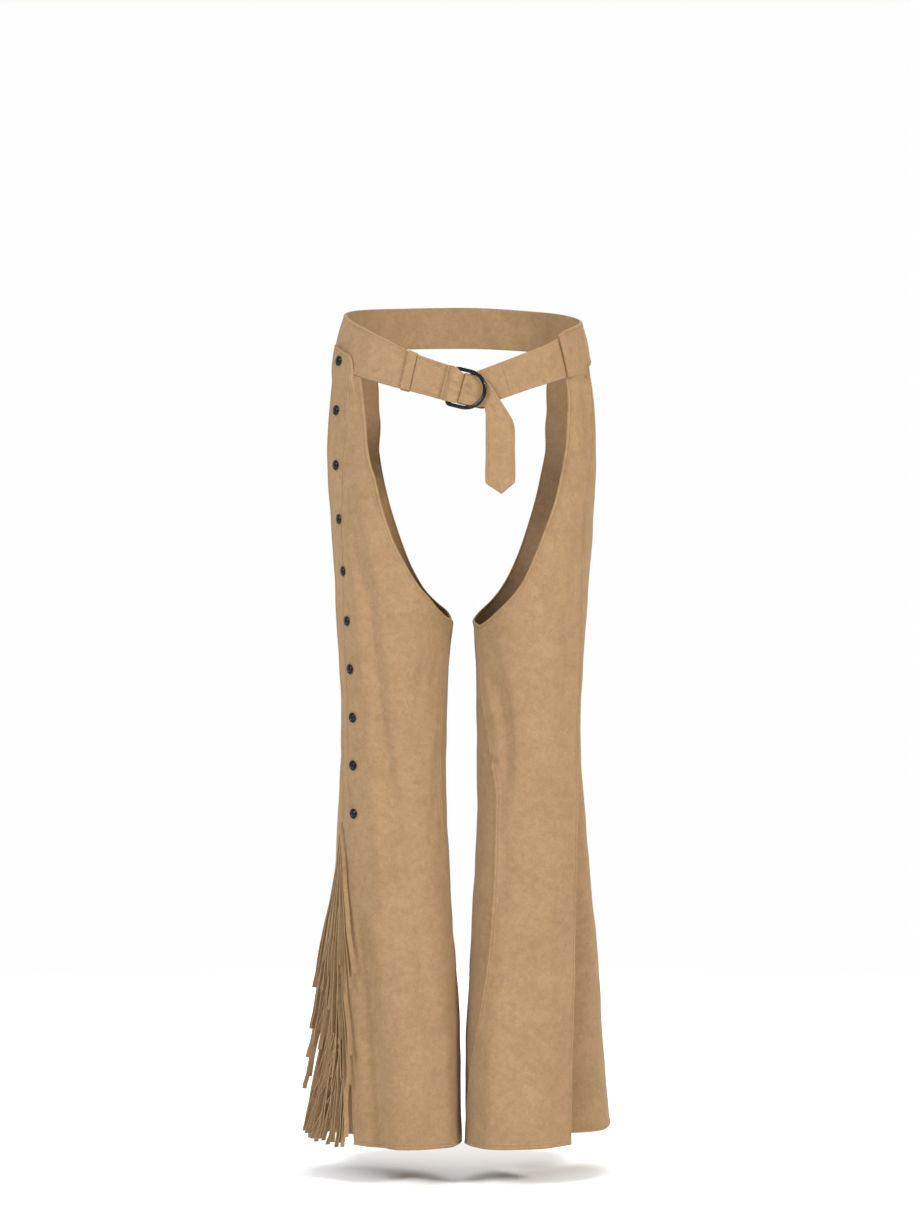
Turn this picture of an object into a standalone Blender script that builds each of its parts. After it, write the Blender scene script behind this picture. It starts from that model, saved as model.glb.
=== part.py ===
"""Suede chaps with a double D-ring hip belt, a snapped side placket and side fringe.

Units are metres and degrees. +X is the wearer's left, -Y the wearer's front, +Z up. The origin
is the middle of the hip ring at the height of the waistband's side, where the wearer holds it up.

Every leg is a stack of rings, each a sheared ellipse. An angle on a ring runs from the inseam
(0) over the front (90) and the outer side (180) to the back (270). The topmost rings are the
whole hip ring, so the same rings carry the waistband.
"""

import math
from collections import namedtuple

import bmesh
import bpy
from mathutils import Vector

# ---------------------------------------------------------------- driving dimensions
WALL = 0.0020  # suede of the legs
BAND_WALL = 0.0022  # waistband, two thin layers sewn together
LAP_GAP = 0.0005  # between two layers sewn over each other
BAND_GAP = 0.0006  # between the waistband and what is sewn to it
UNDER = -(BAND_WALL + BAND_GAP)  # outer face of a layer that lies behind the waistband
OVER = WALL + BAND_GAP  # outer face of a layer that lies over the waistband
BACK_FACE = -0.0028  # outer face of the back panels, behind the front panels' lap

HEM_Z = -1.004
BACK_HEM_LIFT = 0.0055  # the back panels are cut this much shorter
INSEAM_LAP = 8.0  # degrees of ring that the front and back share at the inseam
SIDE_LAP = 8.0  # the same at a plain side seam
TUCK = 0.012  # how far a panel's top edge reaches up behind the waistband
FLAP_RISE = 0.027  # how far the placket's flap rises over the waistband
FLAP_CORNER = 12.0  # degrees of ring over which the flap's corner rounds

SNAP_RADIUS = 0.00625
SNAP_HEIGHT = 0.0026
SNAP_RIM = 0.0009
STUD_RADIUS = 0.0048
STUD_HEIGHT = 0.0012
ROUND_SIDES = 14

RING_WIRE = 0.0042
RING_ARC = 0.0227  # from the arc's centre to the middle of the wire
RING_SIDE = 0.0130  # straight stretch between the arc and the corner
RING_CORNER = 0.0050
RING_TILT = 14.0  # the belt runs down to the front, and the rings with it
RING_CENTRE = Vector((0.0050, -0.1020, -0.0743))

# The tab's section in the rings' plane: over both bars, round its fold and back behind the band.
TabPlace = namedtuple("TabPlace", "along out")
TAB_FOLD = -0.0067
TAB_FOLD_REACH = 0.0180  # half of the tab's width at its fold and at its hidden end
TAB_END_REACH = 0.0218
TAB_OUTER = [
    TabPlace(-0.0262, -0.0010), TabPlace(-0.0250, 0.0012), TabPlace(-0.0240, 0.0042),
    TabPlace(-0.0225, 0.0068), TabPlace(-0.0200, 0.0088), TabPlace(-0.0176, 0.0093),
    TabPlace(-0.0110, 0.0093), TabPlace(-0.0082, 0.0083), TabPlace(TAB_FOLD, 0.0060),
    TabPlace(TAB_FOLD, -0.0020), TabPlace(-0.0080, -0.0036), TabPlace(-0.0100, -0.0043),
    TabPlace(-0.0215, -0.0045), TabPlace(-0.0255, -0.0060), TabPlace(-0.0350, -0.0072),
]
TAB_INNER = [
    TabPlace(-0.0350, -0.0052), TabPlace(-0.0258, -0.0040), TabPlace(-0.0218, -0.0025),
    TabPlace(-0.0110, -0.0023), TabPlace(-0.0092, -0.0014), TabPlace(-0.0087, 0.0050),
    TabPlace(-0.0096, 0.0068), TabPlace(-0.0112, 0.0073), TabPlace(-0.0174, 0.0073),
    TabPlace(-0.0192, 0.0068), TabPlace(-0.0208, 0.0052), TabPlace(-0.0222, 0.0025),
    TabPlace(-0.0229, 0.0005), TabPlace(-0.0240, -0.0018), TabPlace(-0.0262, -0.0030),
]

LOOP_ANGLE = 113.5
LOOP_WIDTH = 4.2  # degrees, about 11 mm
LOOP_WALL = 0.0016

Ring = namedtuple("Ring", "z inner outer front back inner_depth outer_depth")
RINGS = [
    Ring(-1.004, 0.0015, 0.1920, -0.098, 0.150, -0.015, 0.100),
    Ring(-0.906, 0.0018, 0.1840, -0.090, 0.132, -0.012, 0.075),
    Ring(-0.775, 0.0065, 0.1730, -0.080, 0.108, -0.006, 0.040),
    Ring(-0.656, 0.0132, 0.1620, -0.074, 0.088, 0.000, 0.015),
    Ring(-0.581, 0.0160, 0.1565, -0.074, 0.078, 0.000, 0.004),
    Ring(-0.506, 0.0167, 0.1530, -0.077, 0.074, 0.000, 0.000),
    Ring(-0.456, 0.0155, 0.1526, -0.081, 0.076, 0.000, 0.000),
    Ring(-0.345, 0.0105, 0.1590, -0.091, 0.088, 0.000, 0.000),
    Ring(-0.231, -0.0120, 0.1660, -0.097, 0.104, 0.000, 0.000),
    Ring(-0.144, -0.0600, 0.1710, -0.101, 0.114, 0.000, 0.000),
    Ring(-0.100, -0.1250, 0.1690, -0.102, 0.112, 0.000, 0.000),
    Ring(-0.060, -0.1645, 0.1645, -0.102, 0.108, 0.000, 0.000),
    Ring(-0.012, -0.1570, 0.1570, -0.099, 0.103, 0.000, 0.000),
    Ring(0.045, -0.1410, 0.1410, -0.093, 0.096, 0.000, 0.000),
]

# Height of the waistband's edges, by the angle round the hips: 0 is the wearer's left side, 90
# the front, 180 the wearer's right side and 270 the back, so the band runs from 95 to 400.
Band = namedtuple("Band", "angle top bottom")
BAND = [
    Band(95, -0.0449, -0.0893),
    Band(111, -0.0296, -0.0770),
    Band(128, -0.0096, -0.0650),
    Band(145, 0.0065, -0.0530),
    Band(180, 0.0270, -0.0270),
    Band(225, 0.0380, -0.0140),
    Band(270, 0.0420, -0.0100),
    Band(315, 0.0340, -0.0180),
    Band(360, 0.0175, -0.0340),
    Band(395, 0.0010, -0.0568),
    Band(403, -0.0102, -0.0600),
]
BAND_START_TOP = 95.6
BAND_START_BOTTOM = 99.1
BAND_END_TOP = 400.0
BAND_END_BOTTOM = 396.8
BAND_STEPS = 58
BAND_LEVELS = 3

# The strap that carries on from under the band's left front end, by the same angle.
STRAP = [
    Band(38.5, -0.0080, -0.0575),
    Band(49.0, -0.0174, -0.0646),
    Band(62.0, -0.0293, -0.0748),
    Band(72.5, -0.0400, -0.0850),
]

# Where the strap comes forward from behind the band's end, by the same angle.
StrapOut = namedtuple("StrapOut", "angle out")
STRAP_OUT = [
    StrapOut(38.5, UNDER), StrapOut(42, UNDER), StrapOut(47, -0.0014), StrapOut(52, 0.0),
    StrapOut(57, 0.0), StrapOut(62, 0.0), StrapOut(67, 0.0), StrapOut(72, 0.0),
]
# A line across the strap: its top (on the tail, its left) and bottom end, and how far it lies in
# front of the rings' plane.
Across = namedtuple("Across", "top_x top_z bottom_x bottom_z out")
STRAP_BEHIND = [
    Across(0.0400, -0.0435, 0.0345, -0.0905, -0.0022),
    Across(0.0265, -0.0486, 0.0265, -0.0975, -0.0016),
    Across(0.0170, -0.0520, 0.0165, -0.0965, -0.0013),
]
STRAP_HANGING = [
    Across(0.0375, -0.0735, 0.0277, -0.0990, 0.0066),
    Across(0.0480, -0.0900, 0.0284, -0.1030, 0.0078),
    Across(0.0570, -0.1040, 0.0286, -0.1075, 0.0082),
    Across(0.0630, -0.1160, 0.0286, -0.1150, 0.0080),
    Across(0.0645, -0.1500, 0.0286, -0.1500, 0.0064),
    Across(0.0640, -0.1874, 0.0286, -0.1885, 0.0052),
    Across(0.0490, -0.2020, 0.0470, -0.2020, 0.0050),
]
# The same between the rings, in the rings' plane.
Between = namedtuple("Between", "top_along top bottom_along bottom out")
STRAP_BETWEEN = [
    Between(0.006, 0.0186, 0.008, -0.0186, 0.0060),
    Between(0.011, 0.0188, 0.017, -0.0178, 0.0060),
    Between(0.016, 0.0185, 0.024, -0.0160, 0.0060),
    Between(0.023, 0.0150, 0.027, -0.0155, 0.0060),
]
STRAP_TURN = 0.00365  # radius of the strap's turn round the rear ring
STRAP_TURN_ALONG = -0.0010
STRAP_TURN_OUT = 0.00235
STRAP_REACH = 0.0186  # half of the strap's width inside the rings

# Level rows of both legs, hem to crotch.
LEVEL_ROWS = [
    -1.004, -0.960, -0.910, -0.860, -0.810, -0.760, -0.710, -0.660,
    -0.610, -0.560, -0.510, -0.460, -0.415, -0.388,
]

# A row above the crotch: its height along the side, and where it meets the edge of the large
# opening in front and behind.
Opening = namedtuple("Opening", "side front front_angle back back_angle")
# A row under or behind the waistband: its height from the band's lower edge, and its edges.
Top = namedtuple("Top", "level front_angle back_angle")
# A soft fold: the places that it passes, its depth (inward is negative) and half width.
Fold = namedtuple("Fold", "path depth width to_hem")
# The pleat behind the side seam: its depth and half width at the hem, and where it dies out.
Pleat = namedtuple("Pleat", "depth width top")

BACK_FOLDS = [
    Fold([(-1.004, 214), (-0.60, 206)], 0.006, 13, True),
    Fold([(-1.004, 258), (-0.56, 256)], -0.008, 13, True),
    Fold([(-1.004, 306), (-0.62, 298)], 0.006, 13, True),
]

RIGHT = {
    "name": "right",
    "side": -1,
    "inseam": [(-1.004, 4), (-0.82, 8), (-0.64, 26), (-0.57, 29), (-0.49, 30), (-0.41, 16),
               (-0.358, 6)],
    "side_seam": [(-1.004, 113), (-0.90, 121), (-0.80, 131), (-0.70, 141), (-0.604, 150),
                  (-0.53, 160), (-0.46, 163), (-0.31, 165), (-0.17, 165), (-0.05, 168)],
    "underlap": [(-1.004, 105), (-0.90, 113), (-0.80, 123), (-0.70, 133), (-0.645, 133),
                 (-0.604, 120), (-0.53, 125), (-0.46, 128), (-0.38, 128), (-0.31, 131),
                 (-0.23, 135), (-0.17, 138), (-0.115, 143), (-0.05, 146)],
    "lap_columns": 3,
    "openings": [
        Opening(-0.372, -0.3590, 6, -0.3590, 374),
        Opening(-0.355, -0.3520, 26, -0.3540, 358),
        Opening(-0.337, -0.3417, 42.6, -0.3460, 340),
        Opening(-0.318, -0.3300, 53, -0.3350, 318),
        Opening(-0.298, -0.3150, 66, -0.3180, 300),
        Opening(-0.275, -0.2886, 80.2, -0.2960, 287),
        Opening(-0.245, -0.2544, 94.4, -0.2650, 274.5),
        Opening(-0.210, -0.2164, 104.8, -0.2200, 261),
        Opening(-0.170, -0.1780, 113.5, -0.1700, 249),
    ],
    "tops": [
        Top(-0.095, 116.5, 236.5),
        Top(-0.062, 125.2, 230.5),
        Top(-0.030, 134, 227.5),
        Top(-0.004, 139.2, 225.5),
    ],
    "flap": True,
    "folds": BACK_FOLDS + [
        Fold([(-0.822, 63), (-0.622, 83), (-0.449, 106), (-0.2835, 122), (-0.15, 139)],
             -0.0050, 9, False),
        Fold([(-0.74, 92), (-0.52, 112)], 0.0030, 8, False),
        Fold([(-1.004, 94), (-0.905, 102), (-0.764, 113), (-0.66, 128)], -0.0070, 9, True),
    ],
    "pleat": Pleat(0.026, 14, -0.62),
}

LEFT = {
    "name": "left",
    "side": 1,
    "inseam": [(-1.004, 12), (-0.96, 15), (-0.912, 24), (-0.864, 34), (-0.80, 43), (-0.73, 48),
               (-0.652, 50), (-0.571, 49), (-0.52, 42), (-0.44, 26), (-0.3635, 15)],
    "side_seam": [(-1.002, 113), (-0.889, 119), (-0.795, 125), (-0.653, 137), (-0.557, 146),
                  (-0.496, 151), (-0.434, 154), (-0.393, 153), (-0.331, 149), (-0.282, 147),
                  (-0.22, 148), (-0.15, 157), (-0.05, 165)],
    "underlap": None,
    "lap_columns": 1,
    "openings": [
        Opening(-0.374, -0.3635, 15, -0.3635, 383),
        Opening(-0.357, -0.3622, 30, -0.3600, 366),
        Opening(-0.341, -0.3544, 45.4, -0.3540, 346),
        Opening(-0.326, -0.3433, 58, -0.3430, 326),
        Opening(-0.308, -0.3308, 69, -0.3250, 305),
        Opening(-0.288, -0.3120, 81.5, -0.2980, 288),
        Opening(-0.260, -0.2825, 93.4, -0.2650, 274.5),
        Opening(-0.230, -0.2457, 105.3, -0.2200, 261),
        Opening(-0.190, -0.2064, 116.7, -0.1700, 249),
    ],
    "tops": [
        Top(-0.098, 126.5, 236.5),
        Top(-0.066, 132.6, 230.5),
        Top(-0.032, 139.0, 227.5),
        Top(-0.004, 142.4, 225.5),
    ],
    "flap": False,
    "folds": BACK_FOLDS + [
        Fold([(-0.62, 49), (-0.536, 65), (-0.453, 61), (-0.36, 38)], -0.0035, 8, False),
    ],
    "pleat": Pleat(0.040, 15, -0.456),
}

FRONT_COLUMNS = 9
BACK_COLUMNS = 15
BACK_CROWDING = 1.25  # above 1, the back panel's columns crowd towards the side pleat

# Snaps down the placket: height and angle on the right leg.
Snap = namedtuple("Snap", "z angle")
SNAPS = [
    Snap(-0.0353, 158.0), Snap(-0.0963, 155.7), Snap(-0.1646, 149.5), Snap(-0.2313, 146.5),
    Snap(-0.2957, 143.0), Snap(-0.3572, 140.0), Snap(-0.4166, 139.6), Snap(-0.4765, 137.8),
    Snap(-0.5356, 135.8), Snap(-0.5952, 131.5),
]

# The reach of the fringe round the right leg, from where its strips start down to their ends.
Fringe = namedtuple("Fringe", "z front outer near far")
FRINGE = [
    Fringe(-0.606, 143, 150, 0.0015, 0.0050),
    Fringe(-0.660, 131, 158, 0.0012, 0.0085),
    Fringe(-0.720, 118, 166, 0.0012, 0.0105),
    Fringe(-0.780, 112, 174, 0.0012, 0.0115),
    Fringe(-0.840, 111, 180, 0.0012, 0.0120),
    Fringe(-0.900, 110, 183, 0.0012, 0.0120),
    Fringe(-0.960, 109, 182, 0.0012, 0.0115),
    Fringe(-1.012, 110, 176, 0.0012, 0.0100),
]
FRINGE_COLUMNS = 6


# ---------------------------------------------------------------- scene and materials
def clear_scene():
    for thing in list(bpy.data.objects):
        bpy.data.objects.remove(thing, do_unlink=True)


def material(name, colour, roughness, metallic):
    made = bpy.data.materials.new(name)
    made.use_nodes = True
    shader = made.node_tree.nodes["Principled BSDF"]
    shader.inputs["Base Color"].default_value = (*colour, 1.0)
    shader.inputs["Roughness"].default_value = roughness
    shader.inputs["Metallic"].default_value = metallic
    return made


def suede(name, shade=1.0):
    return material(name + "_suede", [shade * c for c in (0.47, 0.30, 0.145)], 0.92, 0.0)


def gunmetal(name):
    return material(name + "_gunmetal", (0.045, 0.047, 0.050), 0.28, 0.9)


def add_object(name, points, faces, finish):
    """A closed mesh from its points and faces, its faces split and turned outwards."""
    mesh = bpy.data.meshes.new(name)
    body = bmesh.new()
    corners = [body.verts.new(point) for point in points]
    for face in faces:
        body.faces.new([corners[i] for i in face])
    bmesh.ops.recalc_face_normals(body, faces=body.faces)
    body.to_mesh(mesh)
    body.free()
    mesh.materials.append(finish)
    made = bpy.data.objects.new(name, mesh)
    bpy.context.scene.collection.objects.link(made)
    return made


# ---------------------------------------------------------------- curves through the tables
def through(points, x):
    """Height at x of a smooth curve through (x, y) points that never overshoots them."""
    if x <= points[0][0]:
        return points[0][1]
    if x >= points[-1][0]:
        return points[-1][1]
    steps = [(b[0] - a[0], (b[1] - a[1]) / (b[0] - a[0])) for a, b in zip(points, points[1:])]
    slopes = [steps[0][1]]
    for (_, before), (_, after) in zip(steps, steps[1:]):
        flat = before * after <= 0
        slopes.append(0.0 if flat else 2 * before * after / (before + after))
    slopes.append(steps[-1][1])
    i = max(k for k in range(len(steps)) if points[k][0] <= x)
    width = steps[i][0]
    t = (x - points[i][0]) / width
    start = points[i][1] * (1 + 2 * t) * (1 - t) ** 2 + slopes[i] * width * t * (1 - t) ** 2
    end = points[i + 1][1] * t * t * (3 - 2 * t) + slopes[i + 1] * width * t * t * (t - 1)
    return start + end


def column(rows, key, value):
    return [(getattr(row, key), getattr(row, value)) for row in rows]


RING_CURVES = {name: column(RINGS, "z", name) for name in Ring._fields[1:]}
BAND_TOP = column(BAND, "angle", "top")
BAND_BOTTOM = column(BAND, "angle", "bottom")
STRAP_TOP = column(STRAP, "angle", "top")
STRAP_BOTTOM = column(STRAP, "angle", "bottom")


def smooth(t):
    t = min(max(t, 0.0), 1.0)
    return t * t * (3 - 2 * t)


def mix(a, b, t):
    return a + (b - a) * t


# ---------------------------------------------------------------- the leg's form
def ring_point(z, angle, whole_hip=False):
    """Point of the plain ring at a height, for a leg on the +X side or round both hips."""
    at = {name: through(curve, z) for name, curve in RING_CURVES.items()}
    if whole_hip:
        at["inner"] = -at["outer"]
    turn = math.radians(angle)
    middle = (at["inner"] + at["outer"]) / 2
    half = (at["outer"] - at["inner"]) / 2
    depth = (at["inner_depth"] + at["outer_depth"]) / 2
    shear = (at["outer_depth"] - at["inner_depth"]) / 2
    reach = depth - at["front"] if math.sin(turn) > 0 else at["back"] - depth
    swell = math.sqrt(reach * reach - shear * shear)
    x = middle - half * math.cos(turn)
    y = depth - shear * math.cos(turn) - swell * math.sin(turn)
    return x, y


def fold_depth(leg, z, angle):
    """How far folds and the side pleat push the cloth out of its plain ring."""
    push = 0.0
    for fold in leg["folds"]:
        low = fold.path[0][0]
        high = fold.path[-1][0]
        if not low <= z <= high:
            continue
        run = (z - low) / (high - low)
        strength = smooth((1 - run) / 0.45)
        if not fold.to_hem:
            strength *= smooth(run / 0.3)
        apart = (angle - through(fold.path, z) + 180) % 360 - 180
        offset = apart / fold.width
        push += fold.depth * strength * math.exp(-offset * offset)
    pleat = leg["pleat"]
    behind = (angle - through(leg["side_seam"], z)) / pleat.width
    if z < pleat.top and behind > 0:
        growth = ((pleat.top - z) / (pleat.top - HEM_Z)) ** 1.2
        push -= pleat.depth * growth * behind * math.exp((1 - behind * behind) / 2)
    return push


def folded_point(leg, z, angle):
    """Point of the cloth's outer face, folds included."""
    step = 0.5
    x, y = ring_point(z, angle)
    ahead = ring_point(z, angle + step)
    behind = ring_point(z, angle - step)
    along = Vector((ahead[0] - behind[0], ahead[1] - behind[1])).normalized()
    push = fold_depth(leg, z, angle)
    return Vector((x + along.y * push, y - along.x * push))


def cloth_point(leg, z, angle, out):
    """Point at a distance out from the folded cloth's face, in world space."""
    step = 0.5
    here = folded_point(leg, z, angle)
    along = (folded_point(leg, z, angle + step) - folded_point(leg, z, angle - step)).normalized()
    return Vector((leg["side"] * (here.x + along.y * out), here.y - along.x * out, z))


def hip_point(angle, z, out):
    """Point on the hip ring, by the angle that the waistband uses."""
    step = 0.5
    x, y = ring_point(z, 180 - angle, True)
    ahead = ring_point(z, 180 - angle + step, True)
    behind = ring_point(z, 180 - angle - step, True)
    along = Vector((ahead[0] - behind[0], ahead[1] - behind[1])).normalized()
    return Vector((x + along.y * out, y - along.x * out, z))


def band_angle(leg, angle):
    """The waistband's angle that meets an angle on a leg's ring."""
    return angle if leg["side"] < 0 else (180 - angle) % 360


def band_bottom(leg, angle):
    turn = band_angle(leg, angle)
    if turn < BAND_START_TOP:
        turn += 360
    return through(BAND_BOTTOM, turn)


# ---------------------------------------------------------------- walls of cloth
def cloth_wall(name, outer, inner, finish):
    """A wall between two grids of points, closed round its edge."""
    rows = len(outer)
    columns = len(outer[0])
    points = [p for row in outer for p in row] + [p for row in inner for p in row]
    back = rows * columns
    faces = []
    for r in range(rows - 1):
        for c in range(columns - 1):
            a, b = r * columns + c, r * columns + c + 1
            d, e = a + columns, b + columns
            faces += [(a, b, e), (a, e, d), (back + a, back + e, back + b)]
            faces += [(back + a, back + d, back + e)]
    rim = [c for c in range(columns)]
    rim += [r * columns + columns - 1 for r in range(1, rows)]
    rim += [(rows - 1) * columns + c for c in range(columns - 2, -1, -1)]
    rim += [r * columns for r in range(rows - 2, 0, -1)]
    for a, b in zip(rim, rim[1:] + rim[:1]):
        faces += [(a, back + a, b), (b, back + a, back + b)]
    return add_object(name, points, faces, finish)


def closed_sweep(name, loops, finish, cyclic=False):
    """A solid through loops of equal count, with flat caps or joined end to end."""
    count = len(loops[0])
    points = [p for loop in loops for p in loop]
    faces = []
    pairs = list(zip(range(len(loops)), range(1, len(loops))))
    if cyclic:
        pairs.append((len(loops) - 1, 0))
    for first, second in pairs:
        for k in range(count):
            n = (k + 1) % count
            a, b = first * count + k, first * count + n
            d, e = second * count + k, second * count + n
            faces += [(a, b, e), (a, e, d)]
    if not cyclic:
        last = (len(loops) - 1) * count
        for k in range(1, count - 1):
            faces += [(0, k + 1, k), (last, last + k, last + k + 1)]
    return add_object(name, points, faces, finish)


def lap_start(leg, z):
    """Angle at which the back panel's edge lies under the front panel."""
    if leg["underlap"]:
        return through(leg["underlap"], z)
    return through(leg["side_seam"], z) - SIDE_LAP


def front_angles(leg, z, edge):
    """Angles of one row of the front panel, from its inner edge to the side seam."""
    start = lap_start(leg, z)
    end = through(leg["side_seam"], z)
    first = min(INSEAM_LAP, 0.3 * (start - edge))
    steps = FRONT_COLUMNS - 1
    angles = [edge] + [mix(edge + first, start, k / steps) for k in range(steps + 1)]
    laps = leg["lap_columns"]
    return angles + [mix(start, end, k / laps) for k in range(1, laps + 1)]


def back_angles(leg, z, edge):
    """Angles of one row of the back panel, from under the front panel to its inner edge."""
    start = lap_start(leg, z)
    seam = through(leg["side_seam"], z)
    laps = leg["lap_columns"]
    steps = BACK_COLUMNS - 1
    angles = [mix(start, seam, k / laps) for k in range(laps + 1)]
    last = edge - INSEAM_LAP
    angles += [mix(seam, last, (k / steps) ** BACK_CROWDING) for k in range(1, steps + 1)]
    return angles + [edge]


def flap_height(angle, edge):
    """Rise of the placket's flap over the band, with its rounded front corner."""
    run = min(max((angle - edge) / FLAP_CORNER, 0.0), 1.0)
    return FLAP_RISE * math.sqrt(1 - (1 - run) ** 2)


def tuck_height(leg, angle, edge):
    """Rise of a top edge behind the band, held back where the strap comes out."""
    if leg["flap"]:
        return TUCK
    return mix(0.0025, TUCK + 0.004, smooth((angle - edge - 3.0) / 2.5))


def front_rows(leg):
    """Rows of (z, angle, out) of the front panel, hem to top."""
    rows = []
    for z in LEVEL_ROWS:
        edge = through(leg["inseam"], z)
        rows.append([(z, angle, 0.0) for angle in front_angles(leg, z, edge)])
    for row in leg["openings"]:
        start = lap_start(leg, row.side)
        line = []
        for angle in front_angles(leg, row.side, row.front_angle):
            run = min(max((angle - row.front_angle) / (start - row.front_angle), 0.0), 1.0)
            line.append((mix(row.front, row.side, run), angle, 0.0))
        rows.append(line)
    for row in leg["tops"]:
        side = band_bottom(leg, through(leg["side_seam"], -0.08)) + row.level
        rise = smooth((row.level + 0.030) / 0.026)
        out = rise * (OVER if leg["flap"] else UNDER)
        angles = front_angles(leg, side, row.front_angle)
        rows.append([(band_bottom(leg, a) + row.level, a, out) for a in angles])
    low = rows[-1]
    edge = low[0][1]
    if leg["flap"]:
        for share in (0.55, 1.0):
            rows.append([(z + 0.004 + share * flap_height(a, edge - 0.35), a, OVER)
                         for z, a, _ in low])
    else:
        rows.append([(z + tuck_height(leg, a, edge), a, UNDER) for z, a, _ in low])
    return rows


def back_face(leg, angle, seam, front_out):
    """Outer face of the back panel, pushed further in where the front is tucked too."""
    if leg["flap"] or angle > seam + 6:
        return BACK_FACE
    return min(BACK_FACE, front_out - WALL - LAP_GAP)


def back_rows(leg):
    rows = []
    for z in LEVEL_ROWS:
        edge = through(leg["inseam"], z) + 360 + INSEAM_LAP
        lift = BACK_HEM_LIFT if z == HEM_Z else 0.0
        rows.append([(z + lift, a, BACK_FACE) for a in back_angles(leg, z, edge)])
    for row in leg["openings"]:
        seam = through(leg["side_seam"], row.side)
        line = []
        for angle in back_angles(leg, row.side, row.back_angle):
            run = min(max((angle - seam) / (row.back_angle - seam), 0.0), 1.0)
            line.append((mix(row.side, row.back, run), angle, BACK_FACE))
        rows.append(line)
    for row in leg["tops"]:
        side = band_bottom(leg, through(leg["side_seam"], -0.08)) + row.level
        seam = through(leg["side_seam"], side)
        out = smooth((row.level + 0.030) / 0.026) * UNDER
        angles = back_angles(leg, side, row.back_angle)
        rows.append([(band_bottom(leg, a) + row.level, a, back_face(leg, a, seam, out))
                     for a in angles])
    rows.append([(z + TUCK + 0.004, a, out) for z, a, out in rows[-1]])
    return rows


def leg_panel(name, leg, rows, finish):
    outer = [[cloth_point(leg, z, a, out) for z, a, out in row] for row in rows]
    inner = [[cloth_point(leg, z, a, out - WALL) for z, a, out in row] for row in rows]
    return cloth_wall(name, outer, inner, finish)


# ---------------------------------------------------------------- waistband and belt
def waistband():
    outer = []
    inner = []
    for level in range(BAND_LEVELS + 1):
        rise = level / BAND_LEVELS
        start = mix(BAND_START_BOTTOM, BAND_START_TOP, rise)
        end = mix(BAND_END_BOTTOM, BAND_END_TOP, rise)
        line_out = []
        line_in = []
        for k in range(BAND_STEPS + 1):
            angle = mix(start, end, k / BAND_STEPS)
            z = mix(through(BAND_BOTTOM, angle), through(BAND_TOP, angle), rise)
            line_out.append(hip_point(angle, z, 0.0))
            line_in.append(hip_point(angle, z, -BAND_WALL))
        outer.append(line_out)
        inner.append(line_in)
    return cloth_wall("waistband", outer, inner, suede("waistband", 1.02))


def in_ring_plane(along, across, out):
    """Point by its place in the plane of the D-rings: along the belt, up it, and forward."""
    tilt = math.radians(RING_TILT)
    x = along * math.cos(tilt) + across * math.sin(tilt)
    z = -along * math.sin(tilt) + across * math.cos(tilt)
    return RING_CENTRE + Vector((x, -out, z))


def strap_sections():
    """Pairs of (top, bottom) points along the middle of the strap's thickness."""
    pairs = []
    half = WALL / 2
    for row in STRAP_OUT:
        top = hip_point(row.angle, through(STRAP_TOP, row.angle), row.out - half)
        bottom = hip_point(row.angle, through(STRAP_BOTTOM, row.angle), row.out - half)
        pairs.append((top, bottom))
    pairs += [across_strap(row) for row in STRAP_BEHIND]
    for degrees in (-90, -45, 0, 45, 90):
        turn = math.radians(degrees)
        along = STRAP_TURN_ALONG - STRAP_TURN * math.cos(turn)
        out = STRAP_TURN_OUT + STRAP_TURN * math.sin(turn)
        pairs.append((in_ring_plane(along, STRAP_REACH, out),
                      in_ring_plane(along, -STRAP_REACH, out)))
    for row in STRAP_BETWEEN:
        pairs.append((in_ring_plane(row.top_along, row.top, row.out),
                      in_ring_plane(row.bottom_along, row.bottom, row.out)))
    return pairs + [across_strap(row) for row in STRAP_HANGING]


def across_strap(row):
    y = RING_CENTRE.y - row.out
    return Vector((row.top_x, y, row.top_z)), Vector((row.bottom_x, y, row.bottom_z))


def belt_strap():
    pairs = strap_sections()
    loops = []
    for k, (top, bottom) in enumerate(pairs):
        before = pairs[max(k - 1, 0)]
        after = pairs[min(k + 1, len(pairs) - 1)]
        along = (after[0] + after[1] - before[0] - before[1]).normalized()
        across = (top - bottom).normalized()
        face = along.cross(across).normalized() * (WALL / 2)
        loops.append([top + face, bottom + face, bottom - face, top - face])
    return closed_sweep("belt_strap", loops, suede("belt_strap"))


def d_ring(name, shift, bar_out, arc_out):
    """A wire D: an arc, two straight sides, two corners and the bar in the tab."""
    places = [(RING_ARC * math.cos(math.radians(t)), RING_ARC * math.sin(math.radians(t)))
              for t in range(-90, 91, 12)]
    corner_top = [(-RING_SIDE - RING_CORNER * math.sin(math.radians(t)),
                   RING_ARC - RING_CORNER * (1 - math.cos(math.radians(t))))
                  for t in (0, 30, 60, 90)]
    places += [(-RING_SIDE / 2, RING_ARC)] + corner_top + [(-RING_SIDE - RING_CORNER, 0.0)]
    places += [(x, -y) for x, y in reversed(corner_top)] + [(-RING_SIDE / 2, -RING_ARC)]
    width = RING_ARC + RING_SIDE + RING_CORNER
    curve = bpy.data.curves.new(name, "CURVE")
    curve.dimensions = "3D"
    curve.bevel_depth = RING_WIRE / 2
    curve.bevel_resolution = 2
    spline = curve.splines.new("POLY")
    spline.points.add(len(places) - 1)
    for point, (along, across) in zip(spline.points, places):
        out = mix(bar_out, arc_out, (along + RING_SIDE + RING_CORNER) / width)
        point.co = (*in_ring_plane(along + shift, across, out), 1.0)
    spline.use_cyclic_u = True
    curve.materials.append(gunmetal(name))
    made = bpy.data.objects.new(name, curve)
    bpy.context.scene.collection.objects.link(made)
    return made


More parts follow.
